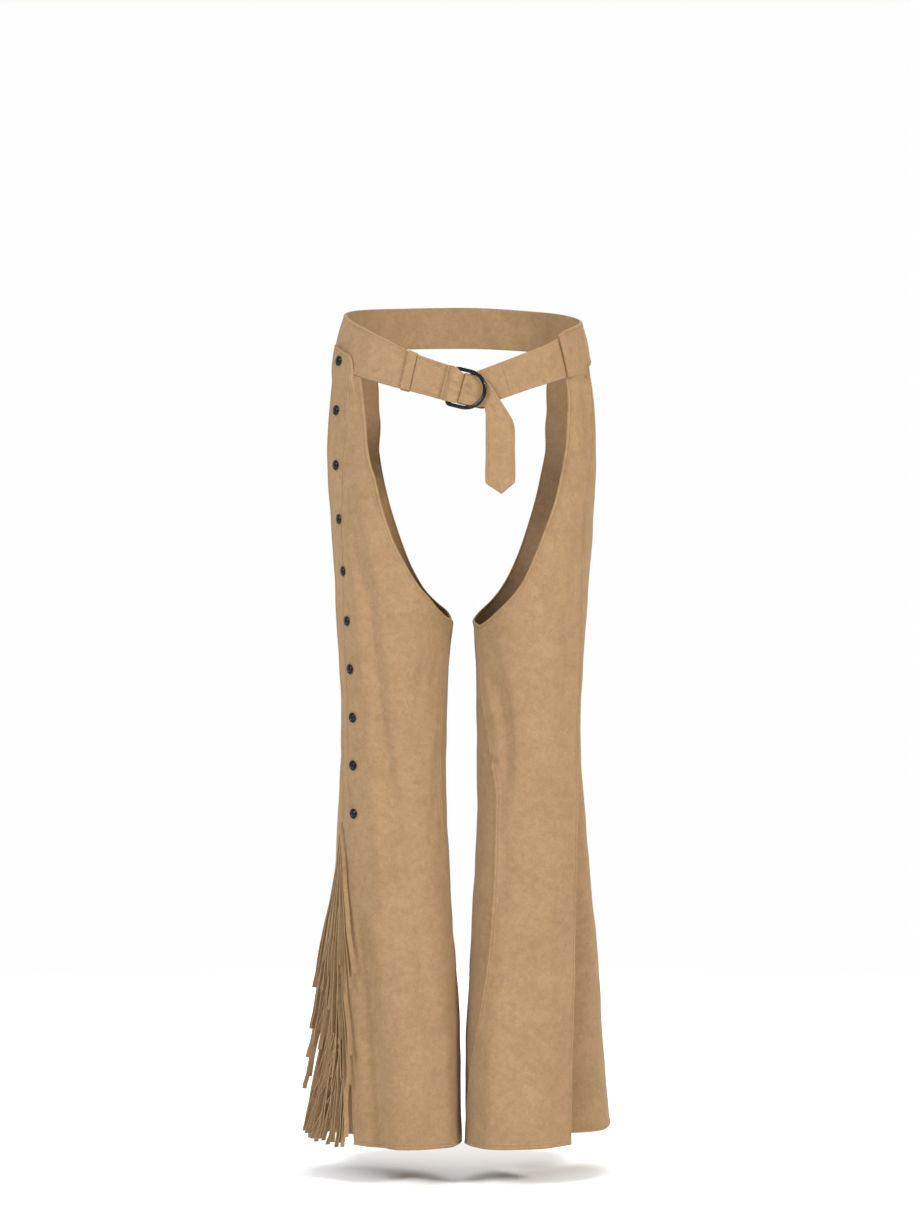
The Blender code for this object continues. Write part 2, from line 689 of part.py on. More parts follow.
def ring_tab():
    """The belt's end folded round both bars: a hook-shaped section swept up the belt."""
    section = [(row.along, row.out) for row in TAB_OUTER]
    section += [(row.along, row.out) for row in TAB_INNER]
    far = TAB_OUTER[-1].along
    loops = []
    for share in (-1.0, 0.0, 1.0):
        loop = []
        for along, out in section:
            reach = mix(TAB_FOLD_REACH, TAB_END_REACH, (TAB_FOLD - along) / (TAB_FOLD - far))
            loop.append(in_ring_plane(along, share * reach, out))
        loops.append(loop)
    count = len(section)
    points = [p for loop in loops for p in loop]
    faces = []
    for k in range(len(loops) - 1):
        for i in range(count):
            n = (i + 1) % count
            faces.append((k * count + i, k * count + n, (k + 1) * count + n, (k + 1) * count + i))
    faces.append(tuple(range(count)))
    faces.append(tuple(range(2 * count, 3 * count)))
    return add_object("dring_tab", points, faces, suede("dring_tab"))


def belt_loop():
    """A keeper strip that goes all round the waistband."""
    gap = 0.0006
    rises = [k / BAND_LEVELS for k in range(BAND_LEVELS + 1)]
    loops = []
    front = [(0.0, rise) for rise in rises]
    back = [(-BAND_WALL, rise) for rise in reversed(rises)]
    for face, rise in front + back:
        loop = []
        for turn, thick in ((-1, 0), (1, 0), (1, 1), (-1, 1)):
            slant = (0.5 - rise) * 3.0
            angle = LOOP_ANGLE + slant + turn * LOOP_WIDTH / 2
            clear = gap + thick * LOOP_WALL
            z = mix(through(BAND_BOTTOM, angle), through(BAND_TOP, angle), rise)
            if rise in (0.0, 1.0):
                z += clear if rise else -clear
            loop.append(hip_point(angle, z, face + clear if face == 0.0 else face - clear))
        loops.append(loop)
    return closed_sweep("belt_loop", loops, suede("belt_loop", 1.02), cyclic=True)


# ---------------------------------------------------------------- snaps and fringe
def placket_out(leg, z, angle):
    """Outer face of the placket, which steps out over the waistband."""
    level = z - band_bottom(leg, angle)
    return smooth((level + 0.030) / 0.026) * OVER


def cloth_frame(leg, z, angle, out):
    """A point on the cloth and the direction that faces straight out of it."""
    step = 0.004
    here = cloth_point(leg, z, angle, out)
    up = cloth_point(leg, z + step, angle, out) - cloth_point(leg, z - step, angle, out)
    round_it = cloth_point(leg, z, angle + 2, out) - cloth_point(leg, z, angle - 2, out)
    face = round_it.cross(up).normalized() * leg["side"]
    return here, face


def turned_piece(name, profile, place, face, finish):
    """A round piece from (radius, height) points, standing on a place and facing out."""
    mesh = bpy.data.meshes.new(name)
    body = bmesh.new()
    line = [body.verts.new((radius, 0.0, height)) for radius, height in profile]
    edges = [body.edges.new(pair) for pair in zip(line, line[1:])]
    bmesh.ops.spin(body, geom=line + edges, axis=(0, 0, 1), cent=(0, 0, 0), steps=ROUND_SIDES,
                   angle=math.tau)
    bmesh.ops.remove_doubles(body, verts=body.verts, dist=0.00001)
    bmesh.ops.recalc_face_normals(body, faces=body.faces)
    body.to_mesh(mesh)
    body.free()
    mesh.shade_smooth()
    mesh.materials.append(finish)
    made = bpy.data.objects.new(name, mesh)
    made.location = place
    made.rotation_mode = "QUATERNION"
    made.rotation_quaternion = face.to_track_quat("Z", "Y")
    bpy.context.scene.collection.objects.link(made)
    return made


def snap_cap_profile():
    points = [(0.0, 0.0), (SNAP_RADIUS, 0.0), (SNAP_RADIUS, SNAP_RIM)]
    for turn in (25, 50, 72, 90):
        angle = math.radians(turn)
        radius = SNAP_RADIUS * 0.97 * math.cos(angle)
        height = SNAP_RIM + (SNAP_HEIGHT - SNAP_RIM) * math.sin(angle)
        points.append((0.0 if turn == 90 else radius, height))
    return points


def snaps():
    cap = snap_cap_profile()
    stud = [(0.0, 0.0), (STUD_RADIUS, 0.0), (STUD_RADIUS, 0.0007), (0.0036, STUD_HEIGHT),
            (0.0, STUD_HEIGHT)]
    for number, snap in enumerate(SNAPS, start=1):
        out = placket_out(RIGHT, snap.z, snap.angle) + 0.0008
        place, face = cloth_frame(RIGHT, snap.z, snap.angle, out)
        turned_piece(f"snap_cap_{number:02d}", cap, place, face, gunmetal(f"snap_cap_{number:02d}"))
        behind = BACK_FACE - WALL - 0.0009
        place, face = cloth_frame(RIGHT, snap.z, snap.angle, behind)
        turned_piece(f"snap_stud_{number:02d}", stud, place, -face,
                     gunmetal(f"snap_stud_{number:02d}"))


def fringe():
    """The space that the hanging strips fill, outside the leg and clear of it."""
    plain = dict(RIGHT, folds=[], pleat=Pleat(0.0, 1.0, HEM_Z - 1.0))
    near = []
    far = []
    for row in FRINGE:
        line_near = []
        line_far = []
        for k in range(FRINGE_COLUMNS + 1):
            share = k / FRINGE_COLUMNS
            angle = mix(row.front, row.outer, share)
            round_off = 1 - (2 * share - 1) ** 4
            depth = mix(row.near + 0.002, row.far, round_off)
            line_near.append(cloth_point(plain, row.z, angle, row.near))
            line_far.append(cloth_point(plain, row.z, angle, depth))
        near.append(line_near)
        far.append(line_far)
    return cloth_wall("fringe_right", far, near, suede("fringe_right", 0.95))


# ---------------------------------------------------------------- the whole object
def build():
    clear_scene()
    for leg in (RIGHT, LEFT):
        side = leg["name"]
        leg_panel(f"leg_front_{side}", leg, front_rows(leg), suede(f"leg_front_{side}"))
        leg_panel(f"leg_back_{side}", leg, back_rows(leg), suede(f"leg_back_{side}", 0.97))
    waistband()
    belt_strap()
    d_ring("dring_back", -0.0018, 0.0008, 0.0026)
    d_ring("dring_front", 0.0, 0.0049, 0.0112)
    ring_tab()
    belt_loop()
    snaps()
    fringe()


build()
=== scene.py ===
"""Suede chaps with a double D-ring hip belt, a snapped side placket and side fringe.

Units are metres and degrees. +X is the wearer's left, -Y the wearer's front, +Z up. Every leg is a
stack of rings, each a sheared ellipse. An angle on a ring runs from the inseam (0) over the front
(90) and the outer side (180) to the back (270). Round the hips 0 is the wearer's left side, 90 the
front, 180 the wearer's right side and 270 the back.
"""

import math
from collections import namedtuple

import bmesh
import bpy
import numpy as np
from mathutils import Matrix, Vector


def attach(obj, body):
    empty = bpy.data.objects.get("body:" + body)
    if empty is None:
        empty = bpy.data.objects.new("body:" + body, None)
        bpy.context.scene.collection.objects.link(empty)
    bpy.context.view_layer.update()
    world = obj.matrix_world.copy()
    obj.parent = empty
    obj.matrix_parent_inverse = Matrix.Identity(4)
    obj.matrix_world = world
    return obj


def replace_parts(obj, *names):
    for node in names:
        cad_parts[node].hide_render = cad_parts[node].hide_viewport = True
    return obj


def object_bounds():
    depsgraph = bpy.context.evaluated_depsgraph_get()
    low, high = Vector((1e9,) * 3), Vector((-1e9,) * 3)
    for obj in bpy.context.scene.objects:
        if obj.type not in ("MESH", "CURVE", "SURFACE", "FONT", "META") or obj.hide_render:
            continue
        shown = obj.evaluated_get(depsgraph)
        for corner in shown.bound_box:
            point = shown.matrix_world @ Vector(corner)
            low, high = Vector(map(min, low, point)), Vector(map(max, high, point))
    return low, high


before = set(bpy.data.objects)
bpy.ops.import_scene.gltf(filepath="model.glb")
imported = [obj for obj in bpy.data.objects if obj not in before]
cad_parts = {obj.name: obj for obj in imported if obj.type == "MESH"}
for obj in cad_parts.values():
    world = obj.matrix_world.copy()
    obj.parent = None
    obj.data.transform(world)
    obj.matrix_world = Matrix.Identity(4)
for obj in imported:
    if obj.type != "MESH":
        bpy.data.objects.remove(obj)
CAD_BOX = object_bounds()

bl_info = {
    "name": "Suede chaps",
    "version": (1, 0, 0),
    "blender": (4, 5, 0),
    "location": "View3D > Sidebar > Chaps",
    "description": "Builds the looks of the suede chaps round their fixed frame",
    "category": "Object",
}

# ---------------------------------------------------------------- cloth and its edges
PANEL_WALL = 0.0016  # what shows of the suede's thickness on the legs
BAND_WALL = 0.0022
LAP_GAP = 0.0005
BAND_GAP = 0.0006
SOLID_WALL = 0.0020
UNDER = -(BAND_WALL + BAND_GAP)
OVER = SOLID_WALL + BAND_GAP
BACK_FACE = -0.0028
INSEAM_LAP = 8.0
TUCK = 0.012
FLAP_EDGE = 144.8  # the placket's flap starts here, at the angle where it leaves the band's edge
FLAP_RISE = 0.0215
FLAP_CORNER = 5.0
HEM_Z = -1.004
BACK_HEM_LIFT = 0.0055
HEM_ABOVE_FLOOR = 0.040  # the worn hems' height over the floor
CROTCH = -0.388
SEAM_APEX = -0.604  # the placket ends here and the fringe starts

CREASING = 1.35  # how strongly all the worn creases show
EDGE_HEIGHT = 0.0011
# distances inside a turned edge at which its height is drawn, to where it is flat again
EDGE_STOPS = (0.0003, 0.0009, 0.0014, 0.0020, 0.0026, 0.0031, 0.0036, 0.0041, 0.0047, 0.0055,
              0.0063, 0.0070, 0.0080)
RIBBON_STOPS = np.array([0.0, 0.00015, 0.0005, 0.0010, 0.0017, 0.0023, 0.0029, 0.0036, 0.0043,
                         0.0049, 0.0056, 0.0064, 0.0075])
STITCH_IN = 0.0036  # the top stitching lies this far inside the edge

# ---------------------------------------------------------------- the rings of a leg
Ring = namedtuple("Ring", "z inner outer front back inner_depth outer_depth")
RINGS = [
    Ring(-1.004, 0.0015, 0.1920, -0.098, 0.150, -0.015, 0.100),
    Ring(-0.906, 0.0018, 0.1840, -0.090, 0.132, -0.012, 0.075),
    Ring(-0.775, 0.0065, 0.1730, -0.080, 0.108, -0.006, 0.040),
    Ring(-0.656, 0.0132, 0.1620, -0.074, 0.088, 0.000, 0.015),
    Ring(-0.581, 0.0160, 0.1565, -0.074, 0.078, 0.000, 0.004),
    Ring(-0.506, 0.0167, 0.1530, -0.077, 0.074, 0.000, 0.000),
    Ring(-0.456, 0.0155, 0.1526, -0.081, 0.076, 0.000, 0.000),
    Ring(-0.345, 0.0105, 0.1590, -0.091, 0.088, 0.000, 0.000),
    Ring(-0.231, -0.0120, 0.1660, -0.097, 0.104, 0.000, 0.000),
    Ring(-0.144, -0.0600, 0.1710, -0.101, 0.114, 0.000, 0.000),
    Ring(-0.100, -0.1250, 0.1690, -0.102, 0.112, 0.000, 0.000),
    Ring(-0.060, -0.1645, 0.1645, -0.102, 0.108, 0.000, 0.000),
    Ring(-0.012, -0.1570, 0.1570, -0.099, 0.103, 0.000, 0.000),
    Ring(0.045, -0.1410, 0.1410, -0.093, 0.096, 0.000, 0.000),
]

Band = namedtuple("Band", "angle top bottom")
BAND = [
    Band(95, -0.0449, -0.0893),
    Band(111, -0.0296, -0.0770),
    Band(128, -0.0096, -0.0650),
    Band(145, 0.0065, -0.0530),
    Band(180, 0.0270, -0.0270),
    Band(225, 0.0380, -0.0140),
    Band(270, 0.0420, -0.0100),
    Band(315, 0.0340, -0.0180),
    Band(360, 0.0175, -0.0340),
    Band(395, 0.0010, -0.0568),
    Band(403, -0.0102, -0.0600),
]
BAND_START_TOP = 95.6
BAND_START_BOTTOM = 99.1
BAND_END_TOP = 400.0
BAND_END_BOTTOM = 396.8
STRAP = [
    Band(35.0, -0.0060, -0.0562),
    Band(38.5, -0.0080, -0.0582),
    Band(49.0, -0.0174, -0.0646),
    Band(62.0, -0.0293, -0.0748),
    Band(72.5, -0.0400, -0.0850),
]

# A row above the crotch: its height at the side, and where it meets the large opening's edge in
# front and behind. A top row lies this far from the waistband's lower edge.
Opening = namedtuple("Opening", "side front front_angle back back_angle")
Top = namedtuple("Top", "level front_angle back_angle")
# A soft fold of the panel's cut, with its half width in degrees.
Fold = namedtuple("Fold", "path depth width to_hem")
Pleat = namedtuple("Pleat", "depth width top")
# A crease that wear has made: the places (z, angle) that it passes, how far it pushes the cloth
# out (a trough is negative), and its half widths on both sides in metres.
Crease = namedtuple("Crease", "path depth width other_width", defaults=[None])
Leg = namedtuple(
    "Leg",
    "name side inseam side_seam underlap openings tops flap folds pleat creases",
)

BACK_FOLDS = [
    Fold([(-1.004, 214), (-0.60, 206)], 0.006, 13, True),
    Fold([(-1.004, 258), (-0.56, 256)], -0.008, 13, True),
    Fold([(-1.004, 306), (-0.62, 298)], 0.006, 13, True),
]

RIGHT = Leg(
    name="right",
    side=-1,
    inseam=[(-1.004, 4), (-0.82, 8), (-0.64, 26), (-0.57, 29), (-0.49, 30), (-0.41, 16),
            (-0.358, 6)],
    side_seam=[(-1.004, 113), (-0.90, 121), (-0.80, 131), (-0.70, 141), (-0.604, 150),
               (-0.53, 160), (-0.46, 163), (-0.31, 165), (-0.17, 165), (-0.05, 168)],
    underlap=[(-1.004, 105), (-0.90, 113), (-0.80, 123), (-0.70, 133), (-0.645, 133),
              (-0.604, 120), (-0.53, 125), (-0.46, 128), (-0.38, 128), (-0.31, 131),
              (-0.23, 135), (-0.17, 138), (-0.115, 143), (-0.05, 146)],
    openings=[
        Opening(-0.372, -0.3590, 6, -0.3590, 374),
        Opening(-0.355, -0.3520, 26, -0.3540, 358),
        Opening(-0.337, -0.3417, 42.6, -0.3460, 340),
        Opening(-0.318, -0.3300, 53, -0.3350, 318),
        Opening(-0.298, -0.3150, 66, -0.3180, 300),
        Opening(-0.275, -0.2886, 80.2, -0.2960, 287),
        Opening(-0.245, -0.2544, 94.4, -0.2650, 274.5),
        Opening(-0.210, -0.2164, 104.8, -0.2200, 261),
        Opening(-0.170, -0.1780, 113.5, -0.1700, 249),
    ],
    tops=[Top(-0.095, 116.5, 236.5), Top(-0.062, 125.2, 230.5), Top(-0.030, 134, 227.5),
          Top(-0.004, 139.2, 225.5)],
    flap=True,
    folds=BACK_FOLDS + [
        Fold([(-0.822, 63), (-0.622, 83), (-0.449, 106), (-0.2835, 122), (-0.15, 139)],
             -0.0050, 9, False),
        Fold([(-0.74, 92), (-0.52, 112)], 0.0030, 8, False),
        Fold([(-1.004, 94), (-0.905, 102), (-0.764, 113), (-0.66, 128)], -0.0070, 9, True),
    ],
    pleat=Pleat(0.026, 14, -0.62),
    creases=[],
)

LEFT = Leg(
    name="left",
    side=1,
    inseam=[(-1.004, 12), (-0.96, 15), (-0.912, 24), (-0.864, 34), (-0.80, 43), (-0.73, 48),
            (-0.652, 50), (-0.571, 49), (-0.52, 42), (-0.44, 26), (-0.3635, 15)],
    side_seam=[(-1.002, 113), (-0.889, 119), (-0.795, 125), (-0.653, 137), (-0.557, 146),
               (-0.496, 151), (-0.434, 154), (-0.393, 153), (-0.331, 149), (-0.282, 147),
               (-0.22, 148), (-0.15, 157), (-0.05, 165)],
    underlap=None,
    openings=[
        Opening(-0.374, -0.3635, 15, -0.3635, 383),
        Opening(-0.357, -0.3622, 30, -0.3600, 366),
        Opening(-0.341, -0.3544, 45.4, -0.3540, 346),
        Opening(-0.326, -0.3433, 58, -0.3430, 326),
        Opening(-0.308, -0.3308, 69, -0.3250, 305),
        Opening(-0.288, -0.3120, 81.5, -0.2980, 288),
        Opening(-0.260, -0.2825, 93.4, -0.2650, 274.5),
        Opening(-0.230, -0.2457, 105.3, -0.2200, 261),
        Opening(-0.190, -0.2064, 116.7, -0.1700, 249),
    ],
    tops=[Top(-0.098, 126.5, 236.5), Top(-0.066, 132.6, 230.5), Top(-0.032, 139, 227.5),
          Top(-0.013, 141.4, 226.3), Top(-0.004, 142.4, 225.5)],
    flap=False,
    folds=BACK_FOLDS + [
        Fold([(-0.62, 49), (-0.536, 65), (-0.453, 61), (-0.36, 38)], -0.0035, 8, False),
    ],
    pleat=Pleat(0.046, 13, -0.430),
    creases=[],
)
SIDE_LAP = 8.0

# ---------------------------------------------------------------- creases placed one by one
RIGHT.creases.extend([
    # the long drag line from the hip across the thigh, and the cloth piled up beside it
    Crease([(-0.088, 147), (-0.184, 136.5), (-0.2835, 122), (-0.353, 110), (-0.449, 106),
            (-0.527, 97.5), (-0.64, 81), (-0.76, 68)], -0.0022, 0.0075, 0.013),
    Crease([(-0.16, 131), (-0.25, 118), (-0.33, 104), (-0.42, 98)], 0.0018, 0.011),
    Crease([(-0.20, 143), (-0.30, 132), (-0.40, 123), (-0.47, 119)], 0.0014, 0.010),
    # short pulls below the opening's corner and down the inside of the knee
    Crease([(-0.372, 30), (-0.425, 44), (-0.49, 52)], -0.0016, 0.0065),
    Crease([(-0.39, 50), (-0.45, 64), (-0.53, 72), (-0.60, 74)], -0.0013, 0.0085, 0.012),
    Crease([(-0.47, 34), (-0.52, 46), (-0.58, 52)], 0.0015, 0.009),
    Crease([(-0.56, 36), (-0.61, 46), (-0.68, 50)], -0.0014, 0.007),
    # the shin's long hanging folds
    Crease([(-0.615, 101), (-0.66, 98), (-0.72, 96), (-0.80, 97)], 0.0026, 0.011, 0.008),
    Crease([(-0.702, 124), (-0.764, 113), (-0.838, 107), (-0.905, 102), (-1.004, 95)],
           -0.0030, 0.0075, 0.011),
    Crease([(-0.70, 66), (-0.82, 58), (-0.93, 52), (-1.004, 50)], -0.0022, 0.012, 0.017),
    Crease([(-0.74, 84), (-0.86, 80), (-1.004, 77)], 0.0020, 0.014),
    Crease([(-0.84, 36), (-0.92, 33), (-1.004, 30)], 0.0020, 0.012),
    # puckers between the snaps
    Crease([(-0.066, 158), (-0.068, 143)], -0.0009, 0.006),
    Crease([(-0.128, 156), (-0.137, 138)], -0.0012, 0.0065),
    Crease([(-0.197, 154), (-0.208, 134)], -0.0012, 0.0065),
    Crease([(-0.262, 152), (-0.276, 130)], -0.0011, 0.0065),
    Crease([(-0.327, 150), (-0.338, 131)], -0.0010, 0.006),
    Crease([(-0.386, 150), (-0.400, 128)], -0.0012, 0.0065),
    Crease([(-0.447, 149), (-0.463, 124)], -0.0012, 0.0065),
    Crease([(-0.506, 148), (-0.523, 121)], -0.0013, 0.0065),
    Crease([(-0.566, 145), (-0.585, 116)], -0.0013, 0.0065),
])
LEFT.creases.extend([
    Crease([(-0.368, 37), (-0.413, 54), (-0.453, 60.6), (-0.515, 67), (-0.536, 65),
            (-0.577, 53), (-0.60, 49)], -0.0022, 0.006, 0.010),
    Crease([(-0.40, 30), (-0.45, 42), (-0.50, 52), (-0.53, 54)], 0.0016, 0.006),
    # the notch where the inseam turns at the knee
    Crease([(-0.522, 38), (-0.529, 47), (-0.533, 55)], -0.0026, 0.0035),
    Crease([(-0.536, 39), (-0.542, 49)], 0.0018, 0.0035),
    # the hip's long soft ridges and the gathers under the waistband
    Crease([(-0.050, 148), (-0.105, 144), (-0.127, 139), (-0.220, 145)], 0.0018, 0.007, 0.010),
    Crease([(-0.048, 155), (-0.095, 151), (-0.145, 148)], -0.0016, 0.0055),
    Crease([(-0.046, 163), (-0.085, 160), (-0.12, 158)], 0.0014, 0.006),
    Crease([(-0.12, 133), (-0.20, 124), (-0.28, 110), (-0.33, 98)], -0.0014, 0.012, 0.017),
    Crease([(-0.19, 136), (-0.28, 126), (-0.38, 114), (-0.46, 106)], 0.0016, 0.014),
    Crease([(-0.30, 138), (-0.42, 128), (-0.52, 122)], -0.0015, 0.011),
    # knee and shin
    Crease([(-0.44, 88), (-0.53, 92), (-0.62, 86), (-0.70, 78)], -0.0014, 0.012, 0.018),
    Crease([(-0.60, 112), (-0.72, 105), (-0.86, 98), (-1.004, 93)], 0.0022, 0.014),
    Crease([(-0.66, 92), (-0.78, 84), (-0.90, 77), (-1.004, 73)], -0.0022, 0.013, 0.018),
    Crease([(-0.72, 62), (-0.84, 56), (-0.93, 50), (-1.004, 47)], 0.0018, 0.012),
    Crease([(-0.62, 58), (-0.66, 62), (-0.72, 60)], -0.0014, 0.007),
])
for leg_of_pair, seat in ((RIGHT, 236), (LEFT, 240)):
    # like creases behind: drag lines from the seat's curve, knee folds and hanging folds
    leg_of_pair.creases.extend([
        Crease([(-0.19, seat + 4), (-0.27, 236), (-0.36, 226), (-0.43, 219)], -0.0022, 0.009, 0.014),
        Crease([(-0.25, 255), (-0.34, 248), (-0.44, 240), (-0.50, 236)], 0.0018, 0.011),
        Crease([(-0.31, 283), (-0.39, 276), (-0.46, 262), (-0.52, 247)], -0.0020, 0.009),
        Crease([(-0.37, 330), (-0.43, 318), (-0.50, 306)], -0.0018, 0.0085, 0.012),
        Crease([(-0.47, 300), (-0.505, 278), (-0.515, 254), (-0.505, 232)], -0.0020, 0.008, 0.011),
        Crease([(-0.53, 306), (-0.555, 284), (-0.560, 262)], 0.0016, 0.010),
        Crease([(-0.56, 222), (-0.60, 244), (-0.62, 266)], -0.0017, 0.0085),
        Crease([(-0.62, 236), (-0.76, 234), (-0.90, 236), (-1.004, 238)], 0.0030, 0.016),
        Crease([(-0.70, 284), (-0.84, 286), (-1.004, 284)], -0.0028, 0.013, 0.018),
        Crease([(-0.66, 328), (-0.82, 330), (-1.004, 334)], 0.0022, 0.014),
    ])

# ---------------------------------------------------------------- the closure
RING_WIRE = 0.0046
RING_ARC = 0.0227
RING_SIDE = 0.0130
RING_CORNER = 0.0050
RING_TILT = math.radians(14.0)
RING_CENTRE = np.array((0.0050, -0.1020, -0.0743))
LOOP_ANGLE = 113.5
LOOP_WIDTH = 4.2
LOOP_WALL = 0.0016

Snap = namedtuple("Snap", "z angle")
SNAPS = [
    Snap(-0.0353, 158.0), Snap(-0.0963, 155.7), Snap(-0.1646, 149.5), Snap(-0.2313, 146.5),
    Snap(-0.2957, 143.0), Snap(-0.3572, 140.0), Snap(-0.4166, 139.6), Snap(-0.4765, 137.8),
    Snap(-0.5356, 135.8), Snap(-0.5952, 131.5),
]
SNAP_RADIUS = 0.00625

Fringe = namedtuple("Fringe", "z front outer near far")
FRINGE = [
    Fringe(-1.012, 110, 176, 0.0012, 0.0100),
    Fringe(-0.960, 109, 182, 0.0012, 0.0115),
    Fringe(-0.900, 110, 183, 0.0012, 0.0120),
    Fringe(-0.840, 111, 180, 0.0012, 0.0120),
    Fringe(-0.780, 112, 174, 0.0012, 0.0115),
    Fringe(-0.720, 118, 166, 0.0012, 0.0105),
    Fringe(-0.660, 131, 158, 0.0012, 0.0085),
    Fringe(-0.606, 143, 150, 0.0015, 0.0050),
]
FRINGE_TOP = -0.607  # the highest strip leaves the seam here
FRINGE_LAST = -0.930  # and the lowest strip a little above here
STRIP_LENGTHS = (0.150, 0.205)  # the shortest and the longest strip, before the hem cuts them off


# ---------------------------------------------------------------- curves through tables
def through(xs, ys, x):
    """Values at x of smooth curves through rows of ys that never overshoot them."""
    xs = np.asarray(xs, float)
    ys = np.asarray(ys, float)
    x = np.clip(np.asarray(x, float), xs[0], xs[-1])
    widths = np.diff(xs).reshape((-1,) + (1,) * (ys.ndim - 1))
    rises = np.diff(ys, axis=0) / widths
    slopes = np.concatenate([rises[:1], np.zeros_like(rises[1:]), rises[-1:]])
    product = rises[:-1] * rises[1:]
    total = np.where(product > 0, rises[:-1] + rises[1:], 1.0)
    slopes[1:-1] = np.where(product > 0, 2 * product / total, 0.0)
    i = np.clip(np.searchsorted(xs, x, side="right") - 1, 0, len(xs) - 2)
    width = widths[i].reshape(x.shape + (1,) * (ys.ndim - 1))
    t = (x - xs[i]).reshape(width.shape) / width
    start = ys[i] * (1 + 2 * t) * (1 - t) ** 2 + slopes[i] * width * t * (1 - t) ** 2
    return start + ys[i + 1] * t * t * (3 - 2 * t) + slopes[i + 1] * width * t * t * (t - 1)


def table(rows, key, value, x):
    return through([getattr(r, key) for r in rows], [getattr(r, value) for r in rows], x)


def pairs_at(pairs, x):
    return through([p[0] for p in pairs], [p[1] for p in pairs], x)


def smooth_line(places, count):
    """A smooth line of count points through places, evenly spaced along it."""
    places = np.asarray(places, float)
    gaps = np.linalg.norm(np.diff(places.reshape(len(places), -1), axis=0), axis=1)
    at = np.concatenate([[0.0], np.cumsum(np.sqrt(gaps))])
    slopes = np.gradient(places, at, axis=0)
    x = np.linspace(0, at[-1], 12 * count)
    i = np.clip(np.searchsorted(at, x, side="right") - 1, 0, len(at) - 2)
    shape = (-1,) + (1,) * (places.ndim - 1)
    width = np.diff(at)[i].reshape(shape)
    t = (x - at[i]).reshape(shape) / width
    line = places[i] * (1 + 2 * t) * (1 - t) ** 2 + slopes[i] * width * t * (1 - t) ** 2
    line = line + places[i + 1] * t * t * (3 - 2 * t) + slopes[i + 1] * width * t * t * (t - 1)
    steps = np.linalg.norm(np.diff(line.reshape(len(line), -1), axis=0), axis=1)
    length = np.concatenate([[0.0], np.cumsum(steps)])
    even = np.linspace(0, length[-1], count)
    flat = line.reshape(len(line), -1)
    spaced = np.stack([np.interp(even, length, column) for column in flat.T], axis=-1)
    return spaced.reshape((count,) + places.shape[1:])


def smooth(t):
    t = np.clip(t, 0.0, 1.0)
    return t * t * (3 - 2 * t)


def mix(a, b, t):
    return a + (b - a) * t


def unit(vectors):
    return vectors / np.linalg.norm(vectors, axis=-1, keepdims=True)


# ---------------------------------------------------------------- the form of the legs
def ring_xy(z, angle, whole_hip=False):
    """Places on the plain rings of a leg on the +X side, or round both hips."""
    at = {name: table(RINGS, "z", name, z) for name in Ring._fields[1:]}
    inner = -at["outer"] if whole_hip else at["inner"]
    turn = np.radians(angle)
    middle = (inner + at["outer"]) / 2
    half = (at["outer"] - inner) / 2
    depth = (at["inner_depth"] + at["outer_depth"]) / 2
    shear = (at["outer_depth"] - at["inner_depth"]) / 2
    reach = np.where(np.sin(turn) > 0, depth - at["front"], at["back"] - depth)
    swell = np.sqrt(reach * reach - shear * shear)
    return np.stack([middle - half * np.cos(turn),
                     depth - shear * np.cos(turn) - swell * np.sin(turn)], -1)


def ring_out(z, angle, whole_hip=False):
    """Flat directions that point out of the plain rings."""
    step = 0.5
    along = ring_xy(z, angle + step, whole_hip) - ring_xy(z, angle - step, whole_hip)
    along = unit(along)
    return np.stack([along[..., 1], -along[..., 0]], -1)


def fold_push(leg, z, angle):
    """How far the cut's folds and the side pleat push the cloth out."""
    push = np.zeros(np.broadcast(z, angle).shape)
    for fold in leg.folds:
        low = fold.path[0][0]
        high = fold.path[-1][0]
        run = (z - low) / (high - low)
        strength = smooth((1 - run) / 0.45) * (run >= 0)
        if not fold.to_hem:
            strength = strength * smooth(run / 0.3)
        apart = (angle - pairs_at(fold.path, z) + 180) % 360 - 180
        push = push + fold.depth * strength * np.exp(-(apart / fold.width) ** 2)
    behind = (angle - pairs_at(leg.side_seam, z)) / leg.pleat.width
    growth = np.clip((leg.pleat.top - z) / (leg.pleat.top - HEM_Z), 0.0, 1.1) ** 1.2
    dip = np.maximum(behind, 0.0)
    return push - leg.pleat.depth * growth * dip * np.exp((1 - dip * dip) / 2)


